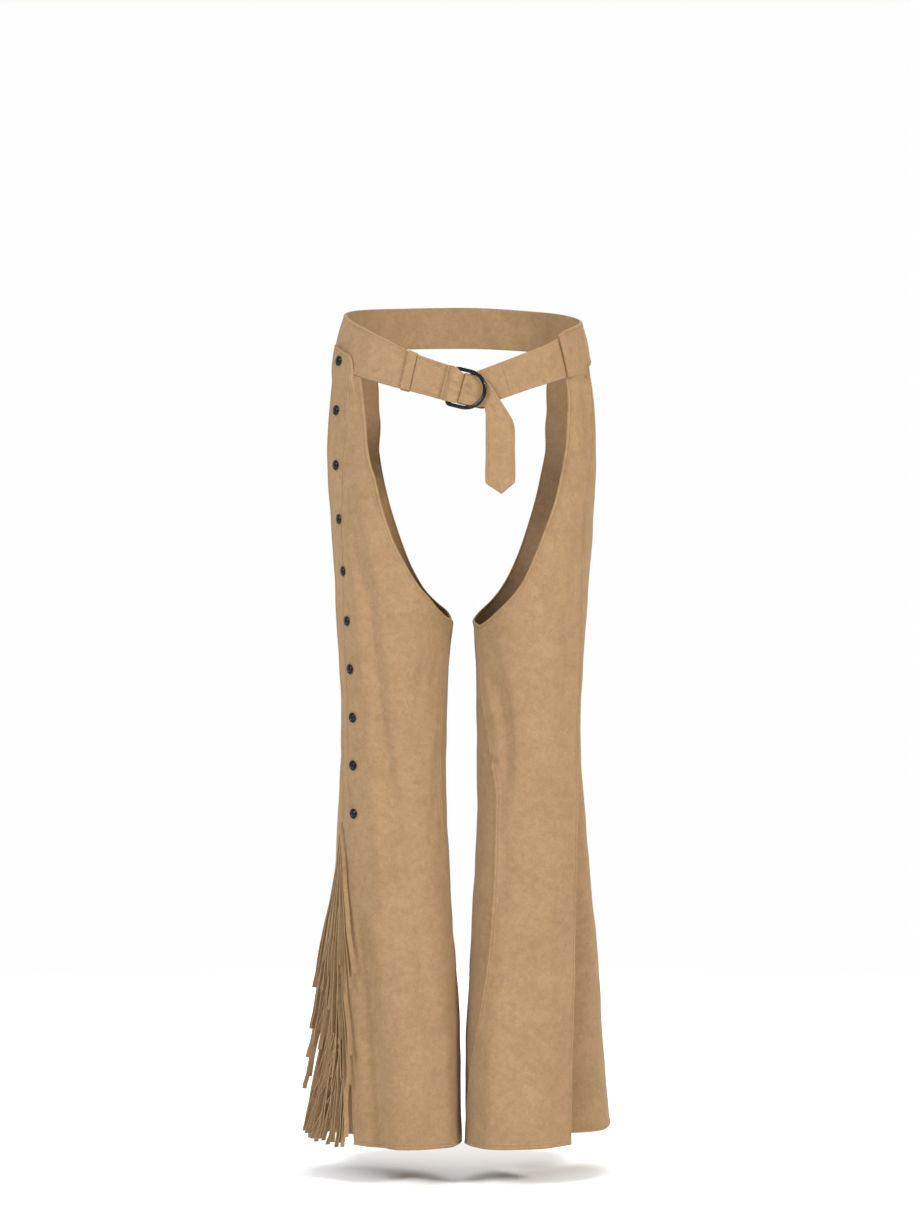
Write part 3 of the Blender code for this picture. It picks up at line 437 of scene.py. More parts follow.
def crease_push(leg, z, angle):
    """How far the worn creases push the cloth out, faded to nothing at their ends."""
    z, angle = np.broadcast_arrays(z, angle)
    push = np.zeros(z.shape)
    for crease in leg.creases:
        line = smooth_line(crease.path, 14)
        middle = line[len(line) // 2]
        ends = ring_xy(middle[0], np.array([middle[1] - 1.0, middle[1] + 1.0]))
        scale = np.linalg.norm(ends[1] - ends[0]) / 2
        reach = 2.6 * max(crease.width, crease.other_width or 0.0)
        far = np.abs(line[:, 1] - middle[1]).max() + reach / scale
        near = (z > line[:, 0].min() - reach) & (z < line[:, 0].max() + reach)
        near &= np.abs((angle - middle[1] + 180) % 360 - 180) < far
        if not near.any():
            continue
        z_near, angle_near = z[near], angle[near]
        best = np.full(z_near.shape, np.inf)
        side = np.zeros(z_near.shape)
        place = np.zeros(z_near.shape)
        for k, (a, b) in enumerate(zip(line, line[1:])):
            step = np.array([b[0] - a[0], (b[1] - a[1]) * scale])
            down = z_near - a[0]
            across = ((angle_near - a[1] + 180) % 360 - 180) * scale
            share = np.clip((down * step[0] + across * step[1]) / (step @ step), 0.0, 1.0)
            gap = np.hypot(down - share * step[0], across - share * step[1])
            nearer = gap < best
            best = np.where(nearer, gap, best)
            side = np.where(nearer, down * step[1] - across * step[0], side)
            place = np.where(nearer, (k + share) / (len(line) - 1), place)
        width = np.where(side > 0, crease.width, crease.other_width or crease.width)
        open_end = crease.path[-1][0] <= HEM_Z
        fade = smooth(place / 0.38) * (1.0 if open_end else smooth((1 - place) / 0.42))
        push[near] += CREASING * crease.depth * fade * np.exp(-(best / width) ** 2)
    return push


def slack(leg, z, angle):
    """The hide's own slow unevenness, which no flat panel is without."""
    turn = np.radians(angle)
    first = np.sin(23.0 * z + 2.0 * turn + 0.7 * leg.side) * np.sin(11.0 * z - 3.0 * turn + 1.1)
    second = np.sin(47.0 * z + 5.0 * turn + 1.9 * leg.side) * np.sin(31.0 * z + 4.0 * turn)
    third = np.sin(83.0 * z - 9.0 * turn + 0.4) * np.sin(59.0 * z + 7.0 * turn + leg.side)
    return 0.0009 * first + 0.0005 * second + 0.00022 * third


def cloth(leg, z, angle):
    """The cloth's outer face with all its folds."""
    z = np.asarray(z, float)
    angle = np.asarray(angle, float)
    push = fold_push(leg, z, angle) + crease_push(leg, z, angle) + slack(leg, z, angle)
    place = ring_xy(z, angle) + ring_out(z, angle) * push[..., None]
    return np.stack([leg.side * place[..., 0], place[..., 1], np.broadcast_to(z, push.shape)], -1)


def cloth_face(leg, z, angle):
    """Directions that point straight out of the cloth."""
    up = cloth(leg, z + 0.003, angle) - cloth(leg, z - 0.003, angle)
    around = cloth(leg, z, angle + 1.2) - cloth(leg, z, angle - 1.2)
    return unit(np.cross(around, up)) * leg.side


def on_cloth(leg, z, angle, out):
    """Points at a distance out from the cloth, and the directions out of it there."""
    face = cloth_face(leg, z, angle)
    return cloth(leg, z, angle) + face * np.asarray(out)[..., None], face


def on_hip(angle, z, out):
    """Points round the hips at a distance out from the waistband's face."""
    angle = np.asarray(angle, float)
    z = np.asarray(z, float)
    place = ring_xy(z, 180 - angle, True)
    place = place + ring_out(z, 180 - angle, True) * np.asarray(out, float)[..., None]
    return np.concatenate([place, np.broadcast_to(z, place.shape[:-1])[..., None]], -1)


def band_bottom(leg, angle):
    turn = angle if leg.side < 0 else (180 - angle) % 360
    return table(BAND, "angle", "bottom", np.where(turn < BAND_START_TOP, turn + 360, turn))


def lap_start(leg, z):
    if leg.underlap:
        return pairs_at(leg.underlap, z)
    return pairs_at(leg.side_seam, z) - SIDE_LAP


# ---------------------------------------------------------------- rows of the panels
def level_heights():
    return np.linspace(HEM_Z, CROTCH, 56)


def tuck_height(angle, edge):
    return mix(0.0025, TUCK + 0.004, smooth((angle - edge - 3.0) / 2.5))


def flap_share(level):
    """How much of its step over the band the flap has taken, by the height from the band's edge."""
    return smooth((level + 0.030) / 0.026)


def flap_out(level, angle):
    """How far the placket's flap steps out over the band, beside the part sewn in under it."""
    step = smooth((angle - FLAP_EDGE + 0.8) / 1.4)
    return flap_share(level) * mix(-0.0010, OVER, step)


def under_band(level):
    """How far in a panel's top has stepped to be sewn under the band."""
    return UNDER * smooth((level + 0.013) / 0.009)


def front_rows(leg, columns):
    """Rows of (z, angle, out) of a front panel, from the hem to its top edge."""
    share = np.linspace(0, 1, columns)
    rows = []
    for z in level_heights():
        edge = pairs_at(leg.inseam, z)
        angles = mix(edge, pairs_at(leg.side_seam, z), share)
        rows.append((np.full(columns, z), angles, np.zeros(columns)))
    for row in leg.openings:
        angles = mix(row.front_angle, pairs_at(leg.side_seam, row.side), share)
        start = lap_start(leg, row.side)
        run = np.clip((angles - row.front_angle) / (start - row.front_angle), 0.0, 1.0)
        rows.append((mix(row.front, row.side, run), angles, np.zeros(columns)))
    for row in leg.tops:
        side = band_bottom(leg, pairs_at(leg.side_seam, -0.08)) + row.level
        angles = mix(row.front_angle, pairs_at(leg.side_seam, side), share)
        out = flap_out(row.level, angles) if leg.flap else np.full(columns, under_band(row.level))
        rows.append((band_bottom(leg, angles) + row.level, angles, out))
    z, angles, out = rows[-1]
    edge = angles[0]
    if leg.flap:
        run = np.clip((angles - FLAP_EDGE) / FLAP_CORNER, 0.0, 1.0)
        rise = FLAP_RISE * np.sqrt(1 - (1 - run) ** 2)
        for part in (0.3, 0.6, 1.0):
            rows.append((z + 0.003 + part * (0.0002 + rise), angles, out))
    else:
        rows.append((z + tuck_height(angles, edge), angles, out))
    return rows


def back_rows(leg, columns):
    """Rows of (z, angle, out) of a back panel, from the hem to its top edge."""
    share = np.linspace(0, 1, columns)
    rows = []
    for z in level_heights():
        edge = pairs_at(leg.inseam, z) + 360 + INSEAM_LAP
        lift = BACK_HEM_LIFT * smooth((HEM_Z + 0.02 - z) / 0.02)
        angles = mix(lap_start(leg, z), edge, share)
        rows.append((np.full(columns, z + lift), angles, np.full(columns, BACK_FACE)))
    for row in leg.openings:
        seam = pairs_at(leg.side_seam, row.side)
        angles = mix(lap_start(leg, row.side), row.back_angle, share)
        run = np.clip((angles - seam) / (row.back_angle - seam), 0.0, 1.0)
        rows.append((mix(row.side, row.back, run), angles, np.full(columns, BACK_FACE)))
    for row in leg.tops:
        side = band_bottom(leg, pairs_at(leg.side_seam, -0.08)) + row.level
        seam = pairs_at(leg.side_seam, side)
        angles = mix(lap_start(leg, side), row.back_angle, share)
        low = min(BACK_FACE, under_band(row.level) - SOLID_WALL - LAP_GAP)
        near = smooth((seam + 8 - angles) / 4) * (0.0 if leg.flap else 1.0)
        rows.append((band_bottom(leg, angles) + row.level, angles, mix(BACK_FACE, low, near)))
    z, angles, out = rows[-1]
    rows.append((z + TUCK + 0.004, angles, out))
    return rows


def refined(rows, spacing):
    """The rows' z, angle and out as smooth grids, a row every spacing or so."""
    grid = np.array(rows)
    steps = np.hypot(np.diff(grid[:, 0], axis=0), 0.0013 * np.diff(grid[:, 1], axis=0))
    at = np.concatenate([[0.0], np.cumsum(steps.mean(axis=1) + 1e-5)])
    fine = [np.linspace(a, b, max(2, math.ceil((b - a) / spacing) + 1))[:-1]
            for a, b in zip(at, at[1:])]
    fine = np.concatenate(fine + [at[-1:]])
    return [through(at, grid[:, k], fine) for k in range(3)]


# ---------------------------------------------------------------- meshes
def finished(obj, material=None):
    """The piece rides on the frame's one body and takes the finish it is given, if any."""
    if material:
        obj.data.materials.clear()
        obj.data.materials.append(material)
    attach(obj, "root")
    return obj


def add_piece(name, points, faces, material, sharp=50.0):
    """A closed mesh with its faces turned outwards and smooth but for its sharp edges."""
    mesh = bpy.data.meshes.new(name)
    mesh.from_pydata(np.asarray(points).reshape(-1, 3).tolist(), [], faces)
    body = bmesh.new()
    body.from_mesh(mesh)
    bmesh.ops.recalc_face_normals(body, faces=body.faces)
    body.to_mesh(mesh)
    body.free()
    mesh.shade_smooth()
    mesh.set_sharp_from_angle(angle=math.radians(sharp))
    made = bpy.data.objects.new(name, mesh)
    bpy.context.scene.collection.objects.link(made)
    return finished(made, material)


def shell(name, outer, face, wall, material):
    """A wall of cloth under a grid of points, closed round its edge."""
    rows, columns = outer.shape[:2]
    inner = outer - face * wall
    index = np.arange(rows * columns).reshape(rows, columns)
    quads = np.stack([index[:-1, :-1], index[:-1, 1:], index[1:, 1:], index[1:, :-1]], -1)
    quads = quads.reshape(-1, 4)
    rim = np.concatenate([index[0, :-1], index[:-1, -1], index[-1, :0:-1], index[:0:-1, 0]])
    after = np.roll(rim, -1)
    back = rows * columns
    sides = np.stack([rim, rim + back, after + back, after], -1)
    faces = np.concatenate([quads, quads[:, ::-1] + back, sides]).tolist()
    points = np.concatenate([outer.reshape(-1, 3), inner.reshape(-1, 3)])
    return add_piece(name, points, faces, material)


def swept(name, loops, material, cyclic=False, sharp=50.0):
    """A solid through loops of equal count, capped or joined end to end."""
    stations, count = loops.shape[:2]
    index = np.arange(stations * count).reshape(stations, count)
    lines = np.concatenate([index, index[:1]]) if cyclic else index
    first, second = lines[:-1], lines[1:]
    quads = np.stack([first, np.roll(first, -1, 1), np.roll(second, -1, 1), second], -1)
    faces = quads.reshape(-1, 4).tolist()
    if not cyclic:
        faces += [index[0, ::-1].tolist(), index[-1].tolist()]
    return add_piece(name, loops, faces, material, sharp)


def edge_height(inside):
    """Height of a turned, top-stitched edge over the cloth, by the distance inside it: a full
    roll, the groove that the stitches pull, and the low ridge of the turned-in end."""
    roll = np.exp(-((inside - 0.0017) / 0.0012) ** 2)
    ridge = 0.42 * np.exp(-((inside - 0.0055) / 0.0012) ** 2)
    return EDGE_HEIGHT * (roll + ridge)


Edge = namedtuple("Edge", "inside place face")


def edge_on(leg, z, angle, out, inward):
    """Lines on a leg at distances inside a panel's edge, with the directions out of the cloth."""
    place, face = on_cloth(leg, z, angle, out)
    run = unit(np.gradient(place, axis=0))
    into = unit(np.cross(run, face)) * inward
    around = cloth(leg, z, angle + 0.5) - cloth(leg, z, angle - 0.5)
    up = (cloth(leg, z + 0.001, angle) - cloth(leg, z - 0.001, angle)) / 0.002
    climb = into[:, 2]
    turn = ((into - climb[:, None] * up) * around).sum(axis=1) / (around * around).sum(axis=1)
    lines = [on_cloth(leg, z + climb * d, angle + turn * d, out) for d in EDGE_STOPS]
    return Edge(into, np.array([line[0] for line in lines]), np.array([line[1] for line in lines]))


def edge_roll(name, edge, material, height=1.0, wall=PANEL_WALL):
    """The turned edge of a panel: a rounded lip that wraps its cut edge."""
    first, face = edge.place[0], edge.face[0]
    loops = []
    for d, h in ((0.0012, -wall - 0.00035), (0.0002, -wall - 0.0003), (-0.00045, -wall),
                 (-0.0007, -wall / 2), (-0.0006, 0.0), (-0.0002, 0.45 * EDGE_HEIGHT * height)):
        loops.append(first + edge.inside * d + face * h)
    for d, place, out in zip(EDGE_STOPS, edge.place, edge.face):
        end = 0.0 if d < EDGE_STOPS[-1] else 0.0003
        loops.append(place + out * (height * edge_height(d) + 0.0001 - end))
    loops.append(edge.place[-1] - edge.face[-1] * 0.0008)
    loops.append(edge.place[3] - edge.face[3] * 0.0008)
    return swept(name, np.stack(loops, axis=1), material, sharp=75.0)


def ribbon(name, tops, bottoms, thick, material, relief=None, lips=True):
    """A strip of doubled suede between two lines of edge points, with rolled edges."""
    middle = (tops + bottoms) / 2
    width = np.linalg.norm(tops - bottoms, axis=1)
    across = unit(tops - bottoms)
    along = unit(np.gradient(middle, axis=0))
    face = unit(np.cross(along, across))
    stops = RIBBON_STOPS
    rows = []
    for station in range(len(middle)):
        wide = width[station]
        near = np.minimum(stops, wide * 0.45)
        places = np.concatenate([near, np.linspace(near[-1], wide - near[-1], 12)[1:-1],
                                 wide - near[::-1]])
        edge = np.minimum(places, wide - places)
        rounded = np.sqrt(np.clip(1 - (1 - np.minimum(edge / (thick * 0.42), 1)) ** 2, 0, 1))
        raised = edge_height(edge) * 0.7 if lips else 0.0
        push = relief(station, places / wide) if relief else 0.0
        centre = bottoms[station] + across[station] * places[:, None]
        front = centre + face[station] * (rounded * (thick / 2 + raised) + push)[:, None]
        back = centre + face[station] * (-rounded * thick / 2 + push)[:, None]
        rows.append(np.concatenate([front, back[-2:0:-1]]))
    return swept(name, np.array(rows), material)


# ---------------------------------------------------------------- finishes
def linear(hex_colour):
    """An sRGB hex colour as the linear colour that a shader takes."""
    parts = [int(hex_colour[i:i + 2], 16) / 255 for i in (0, 2, 4)]
    return [c / 12.92 if c <= 0.04045 else ((c + 0.055) / 1.055) ** 2.4 for c in parts] + [1.0]


def add_node(tree, kind, settings=None, values=None, links=None):
    """A node with its settings, its inputs' values, and the sockets that feed it."""
    node = tree.nodes.new(kind)
    for key, value in (settings or {}).items():
        setattr(node, key, value)
    for key, value in (values or {}).items():
        node.inputs[key].default_value = value
    for key, source in (links or {}).items():
        tree.links.new(source, node.inputs[key])
    return node


def new_material(name):
    material = bpy.data.materials.new(name)
    material.use_nodes = True
    tree = material.node_tree
    tree.nodes.clear()
    shader = add_node(tree, "ShaderNodeBsdfPrincipled")
    output = add_node(tree, "ShaderNodeOutputMaterial", links={"Surface": shader.outputs[0]})
    output.is_active_output = True
    return material, tree, shader


def split_suede(name, dark, middle, light, tone=1.0):
    """Split cowhide, sueded: brushed on both sides, so its short nap lies this way and that and
    shows as soft clouds of lighter and darker tan with no gloss at all."""
    material, tree, shader = new_material(name)
    place = add_node(tree, "ShaderNodeTexCoord").outputs["Object"]
    clouds = add_node(tree, "ShaderNodeTexNoise",  # stretches of the hide, about 40 mm
                      values={"Scale": 26.0, "Detail": 3.0, "Distortion": 0.6},
                      links={"Vector": place}).outputs["Fac"]
    brushed = add_node(tree, "ShaderNodeTexNoise",  # nap brushed by hand, about 8 mm
                       values={"Scale": 120.0, "Detail": 4.0, "Roughness": 0.62,
                               "Distortion": 0.9},
                       links={"Vector": place}).outputs["Fac"]
    # the fibres' tips are 0.1 mm apart; drawn at about 1 mm, which is as fine as shows
    speckle = add_node(tree, "ShaderNodeTexNoise",
                       values={"Scale": 900.0, "Detail": 2.0, "Roughness": 0.7},
                       links={"Vector": place}).outputs["Fac"]
    broad = add_node(tree, "ShaderNodeMath", {"operation": "MULTIPLY"}, {1: 0.20},
                     {0: clouds}).outputs[0]
    mottled = add_node(tree, "ShaderNodeMath", {"operation": "MULTIPLY_ADD"}, {1: 0.34},
                       {0: brushed, 2: broad}).outputs[0]
    height = add_node(tree, "ShaderNodeMath", {"operation": "MULTIPLY_ADD"}, {1: 0.46},
                      {0: speckle, 2: mottled}).outputs[0]
    ramp = add_node(tree, "ShaderNodeValToRGB", links={"Fac": height})
    stops = ramp.color_ramp.elements
    shade = [[tone * c for c in linear(h)[:3]] + [1.0] for h in (dark, middle, light)]
    stops[0].position = 0.36
    stops[0].color = shade[0]
    stops[1].position = 0.64
    stops[1].color = shade[2]
    stops.new(0.50).color = shade[1]
    tree.links.new(ramp.outputs["Color"], shader.inputs["Base Color"])
    nap = add_node(tree, "ShaderNodeBump", values={"Strength": 0.5, "Distance": 0.0006},
                   links={"Height": height})
    fibres = add_node(tree, "ShaderNodeTexNoise", values={"Scale": 1500.0, "Roughness": 0.6},
                      links={"Vector": place}).outputs["Fac"]
    pile = add_node(tree, "ShaderNodeBump", values={"Strength": 0.35, "Distance": 0.0003},
                    links={"Height": fibres, "Normal": nap.outputs["Normal"]})
    tree.links.new(pile.outputs["Normal"], shader.inputs["Normal"])
    for key, value in {"Roughness": 0.95, "Specular IOR Level": 0.15, "Sheen Weight": 0.18,
                       "Sheen Roughness": 0.55, "Sheen Tint": linear("E8D3B6")}.items():
        shader.inputs[key].default_value = value
    return material


def black_nickel(name, colour):
    """Steel wire and pressed brass in bright black nickel plate: a dark smoky mirror, a little
    brighter and rougher where handling has worn it."""
    material, tree, shader = new_material(name)
    place = add_node(tree, "ShaderNodeTexCoord").outputs["Object"]
    wear = add_node(tree, "ShaderNodeTexNoise",  # smears 2 to 3 mm across
                    values={"Scale": 420.0, "Detail": 4.0, "Roughness": 0.6},
                    links={"Vector": place}).outputs["Fac"]
    ramp = add_node(tree, "ShaderNodeValToRGB", links={"Fac": wear})
    ramp.color_ramp.elements[0].position = 0.46
    ramp.color_ramp.elements[0].color = linear(colour)
    ramp.color_ramp.elements[1].position = 0.85
    ramp.color_ramp.elements[1].color = linear("4A4948")
    tree.links.new(ramp.outputs["Color"], shader.inputs["Base Color"])
    rough = add_node(tree, "ShaderNodeMapRange",
                     values={"To Min": 0.18, "To Max": 0.26}, links={"Value": wear})
    tree.links.new(rough.outputs["Result"], shader.inputs["Roughness"])
    fine = add_node(tree, "ShaderNodeTexNoise",
                    values={"Scale": 1800.0, "Detail": 3.0, "Roughness": 0.7},
                    links={"Vector": place}).outputs["Fac"]
    scratches = add_node(tree, "ShaderNodeBump", values={"Strength": 0.08, "Distance": 0.0002},
                         links={"Height": fine})
    tree.links.new(scratches.outputs["Normal"], shader.inputs["Normal"])
    shader.inputs["Metallic"].default_value = 1.0
    return material


def bonded_thread(name, colour):
    """Bonded polyester sewing thread, dyed to the suede: slightly glossy beside the nap, with
    the twist showing as fine bands."""
    material, tree, shader = new_material(name)
    place = add_node(tree, "ShaderNodeTexCoord").outputs["Object"]
    fleck = add_node(tree, "ShaderNodeTexNoise", values={"Scale": 1400.0},  # the twist, 0.7 mm
                     links={"Vector": place}).outputs["Fac"]
    ramp = add_node(tree, "ShaderNodeValToRGB", links={"Fac": fleck})
    ramp.color_ramp.elements[0].position = 0.35
    ramp.color_ramp.elements[0].color = [0.72 * c for c in linear(colour)[:3]] + [1.0]
    ramp.color_ramp.elements[1].position = 0.65
    ramp.color_ramp.elements[1].color = linear(colour)
    tree.links.new(ramp.outputs["Color"], shader.inputs["Base Color"])
    twist = add_node(tree, "ShaderNodeBump", values={"Strength": 0.4, "Distance": 0.0002},
                     links={"Height": fleck})
    tree.links.new(twist.outputs["Normal"], shader.inputs["Normal"])
    for key, value in {"Roughness": 0.55, "Sheen Weight": 0.15}.items():
        shader.inputs[key].default_value = value
    return material


def painted_floor(name):
    """Studio floor in matt white paint."""
    material, tree, shader = new_material(name)
    place = add_node(tree, "ShaderNodeTexCoord").outputs["Object"]
    roller = add_node(tree, "ShaderNodeTexNoise", values={"Scale": 1.5},
                      links={"Vector": place}).outputs["Fac"]
    ramp = add_node(tree, "ShaderNodeValToRGB", links={"Fac": roller})
    ramp.color_ramp.elements[0].color = linear("FAFAF9")
    ramp.color_ramp.elements[1].color = linear("FCFCFB")
    tree.links.new(ramp.outputs["Color"], shader.inputs["Base Color"])
    shader.inputs["Roughness"].default_value = 0.9
    return material


FINISHES = {}


def finish(name):
    """The scene's finishes, each made once from the colours in the panel."""
    if name not in FINISHES:
        colours = bpy.context.scene.chaps_finish
        if name.startswith("suede"):
            # the back panels take a darker copy of the suede: painted shade for where they lie
            # behind the side seam
            # the fringe takes a lighter copy of the suede: painted light for strips turned away from
            # the key light
            tone = {"suede": 1.0, "suede_back": 0.95, "suede_fringe": 1.04}[name]
            FINISHES[name] = split_suede(name, colours.nap_dark, colours.nap, colours.nap_light,
                                         tone)
        elif name == "gunmetal":
            FINISHES[name] = black_nickel("black_nickel", colours.metal)
        else:
            FINISHES[name] = bonded_thread("bonded_thread", colours.thread)
    return FINISHES[name]


# ---------------------------------------------------------------- Geometry Nodes
def new_tree(name, inputs):
    """A Geometry Nodes tree with named inputs: its tree, its input and its output node."""
    tree = bpy.data.node_groups.new(name, "GeometryNodeTree")
    tree.interface.new_socket("Geometry", in_out="INPUT", socket_type="NodeSocketGeometry")
    for label, kind, value in inputs:
        socket = tree.interface.new_socket(label, in_out="INPUT", socket_type=kind)
        if value is not None:
            socket.default_value = value
    tree.interface.new_socket("Geometry", in_out="OUTPUT", socket_type="NodeSocketGeometry")
    return tree, tree.nodes.new("NodeGroupInput"), tree.nodes.new("NodeGroupOutput")


def close_tree(tree, source, result, output):
    """Ends a tree in Realize Instances and Set Material."""
    real = add_node(tree, "GeometryNodeRealizeInstances", links={"Geometry": result})
    painted = add_node(tree, "GeometryNodeSetMaterial",
                       links={"Geometry": real.outputs[0], "Material": source.outputs["Material"]})
    tree.links.new(painted.outputs[0], output.inputs[0])


def stitch_tree():
    """Stitches of one length, a stitch length and a hole apart, along every guide line."""
    tree, source, output = new_tree("Top stitching", [
        ("Pitch", "NodeSocketFloat", 0.0032),
        ("Stitch Length", "NodeSocketFloat", 0.0025),
        ("Thread Width", "NodeSocketFloat", 0.0007),
        ("Material", "NodeSocketMaterial", None),
    ])
    lines = add_node(tree, "GeometryNodeMeshToCurve", links={"Mesh": source.outputs["Geometry"]})
    spaced = add_node(tree, "GeometryNodeResampleCurve", {"mode": "LENGTH"},
                      links={"Curve": lines.outputs[0], "Length": source.outputs["Pitch"]})
    bead = add_node(tree, "GeometryNodeMeshUVSphere", values={"Segments": 6, "Rings": 4,
                                                              "Radius": 0.5})
    size = add_node(tree, "ShaderNodeCombineXYZ",
                    links={"X": source.outputs["Stitch Length"],
                           "Y": source.outputs["Thread Width"],
                           "Z": source.outputs["Thread Width"]})
    stitch = add_node(tree, "GeometryNodeTransform",
                      links={"Geometry": bead.outputs[0], "Scale": size.outputs[0]})
    face = add_node(tree, "GeometryNodeInputNamedAttribute", {"data_type": "FLOAT_VECTOR"},
                    {"Name": "face"}).outputs["Attribute"]
    turn = add_node(tree, "FunctionNodeAxesToRotation",
                    {"primary_axis": "X", "secondary_axis": "Z"},
                    links={"Primary Axis": add_node(tree, "GeometryNodeInputTangent").outputs[0],
                           "Secondary Axis": face})
    sewn = add_node(tree, "GeometryNodeInstanceOnPoints",
                    links={"Points": spaced.outputs[0], "Instance": stitch.outputs[0],
                           "Rotation": turn.outputs[0]})
    close_tree(tree, source, sewn.outputs[0], output)
    return tree


def snap_tree():
    """A pressed cap at every guide point: a flange, a rolled rim and a dome, all round."""
    tree, source, output = new_tree("Snap caps", [
        ("Radius", "NodeSocketFloat", SNAP_RADIUS),
        ("Rim", "NodeSocketFloat", 0.0009),
        ("Dome Height", "NodeSocketFloat", 0.0019),
        ("Material", "NodeSocketMaterial", None),
    ])
    radius = source.outputs["Radius"]
    rim = source.outputs["Rim"]
    circle_radius = add_node(tree, "ShaderNodeMath", {"operation": "SUBTRACT"},
                             links={0: radius, 1: rim}).outputs[0]
    circle = add_node(tree, "GeometryNodeCurvePrimitiveCircle", values={"Resolution": 40},
                      links={"Radius": circle_radius})
    wire = add_node(tree, "GeometryNodeCurvePrimitiveCircle", values={"Resolution": 10},
                    links={"Radius": rim})
    rolled = add_node(tree, "GeometryNodeCurveToMesh",
                      links={"Curve": circle.outputs[0], "Profile Curve": wire.outputs[0]})
    raised_rim = add_node(tree, "GeometryNodeTransform", values={"Translation": (0, 0, 0.0006),
                                                                 "Scale": (1, 1, 0.75)},
                          links={"Geometry": rolled.outputs[0]})
    flange = add_node(tree, "GeometryNodeMeshCylinder", values={"Vertices": 40, "Depth": 0.0010},
                      links={"Radius": circle_radius})
    dome_radius = add_node(tree, "ShaderNodeMath", {"operation": "MULTIPLY"}, {1: 0.83},
                           {0: circle_radius}).outputs[0]
    ball = add_node(tree, "GeometryNodeMeshUVSphere", values={"Segments": 36, "Rings": 20},
                    links={"Radius": dome_radius})
    flat = add_node(tree, "ShaderNodeMath", {"operation": "DIVIDE"},
                    links={0: source.outputs["Dome Height"], 1: dome_radius}).outputs[0]
    size = add_node(tree, "ShaderNodeCombineXYZ", values={"X": 1.0, "Y": 1.0}, links={"Z": flat})
    dome = add_node(tree, "GeometryNodeTransform", values={"Translation": (0, 0, 0.0006)},
                    links={"Geometry": ball.outputs[0], "Scale": size.outputs[0]})
    joined = tree.nodes.new("GeometryNodeJoinGeometry")
    for part in (raised_rim, flange, dome):
        tree.links.new(part.outputs[0], joined.inputs[0])
    shaded = add_node(tree, "GeometryNodeSetShadeSmooth", links={"Geometry": joined.outputs[0]})
    face = add_node(tree, "GeometryNodeInputNamedAttribute", {"data_type": "FLOAT_VECTOR"},
                    {"Name": "face"}).outputs["Attribute"]
    turn = add_node(tree, "FunctionNodeAxesToRotation",
                    {"primary_axis": "Z", "secondary_axis": "X"},
                    {"Secondary Axis": (0, 0, 1)}, {"Primary Axis": face})
    placed = add_node(tree, "GeometryNodeInstanceOnPoints",
                      links={"Points": source.outputs["Geometry"], "Instance": shaded.outputs[0],
                             "Rotation": turn.outputs[0]})
    close_tree(tree, source, placed.outputs[0], output)
    return tree


def strip_tree():
    """A flat strip of suede along every guide line, its broad face as the line's face says."""
    tree, source, output = new_tree("Fringe strips", [
        ("Strip Width", "NodeSocketFloat", 0.0062),
        ("Thickness", "NodeSocketFloat", 0.0013),
        ("Material", "NodeSocketMaterial", None),
    ])
    lines = add_node(tree, "GeometryNodeMeshToCurve", links={"Mesh": source.outputs["Geometry"]})
    face = add_node(tree, "GeometryNodeInputNamedAttribute", {"data_type": "FLOAT_VECTOR"},
                    {"Name": "face"}).outputs["Attribute"]
    turned = add_node(tree, "GeometryNodeSetCurveNormal", {"mode": "FREE"},
                      links={"Curve": lines.outputs[0], "Normal": face})
    section = add_node(tree, "GeometryNodeCurvePrimitiveQuadrilateral",
                       links={"Width": source.outputs["Strip Width"],
                              "Height": source.outputs["Thickness"]})
    strips = add_node(tree, "GeometryNodeCurveToMesh", values={"Fill Caps": True},
                      links={"Curve": turned.outputs[0], "Profile Curve": section.outputs[0]})
    close_tree(tree, source, strips.outputs[0], output)
    return tree


def grown(name, lines, faces, tree, material, sizes):
    """The plain mesh that a tree grows from guide lines, or from single points."""
    points = np.concatenate(lines)
    starts = np.cumsum([0] + [len(line) for line in lines])
    edges = [(k, k + 1) for a, b in zip(starts, starts[1:]) for k in range(a, b - 1)]
    mesh = bpy.data.meshes.new(name + "_guide")
    mesh.from_pydata(points.tolist(), edges, [])
    attribute = mesh.attributes.new("face", "FLOAT_VECTOR", "POINT")
    attribute.data.foreach_set("vector", np.concatenate(faces).astype(np.float32).ravel())
    guide = bpy.data.objects.new(name + "_guide", mesh)
    bpy.context.scene.collection.objects.link(guide)
    modifier = guide.modifiers.new("Growth", "NODES")
    modifier.node_group = tree
    for item in tree.interface.items_tree:
        if item.in_out == "INPUT" and item.name in sizes:
            modifier[item.identifier] = sizes[item.name]
        elif item.in_out == "INPUT" and item.name == "Material":
            modifier[item.identifier] = material
    seen = guide.evaluated_get(bpy.context.evaluated_depsgraph_get())
    made = bpy.data.objects.new(name, bpy.data.meshes.new_from_object(seen))
    bpy.context.scene.collection.objects.link(made)
    bpy.data.objects.remove(guide, do_unlink=True)
    if not made.data.polygons:
        raise RuntimeError(f"{name} came out empty")
    return finished(made)


# ---------------------------------------------------------------- the pieces
EDGES = {}  # places along the panels' boundaries, kept for their turned edges and stitches


def leg_panel(name, leg, rows, spacing, wall, material):
    z, angle, out = refined(rows, spacing)
    plain = cloth(leg, z, angle)
    face = unit(np.cross(np.gradient(plain, axis=1), np.gradient(plain, axis=0))) * leg.side
    outer = plain + face * out[..., None]
    EDGES[name] = (z, angle, out)
    return shell(name, outer, face, wall, material)


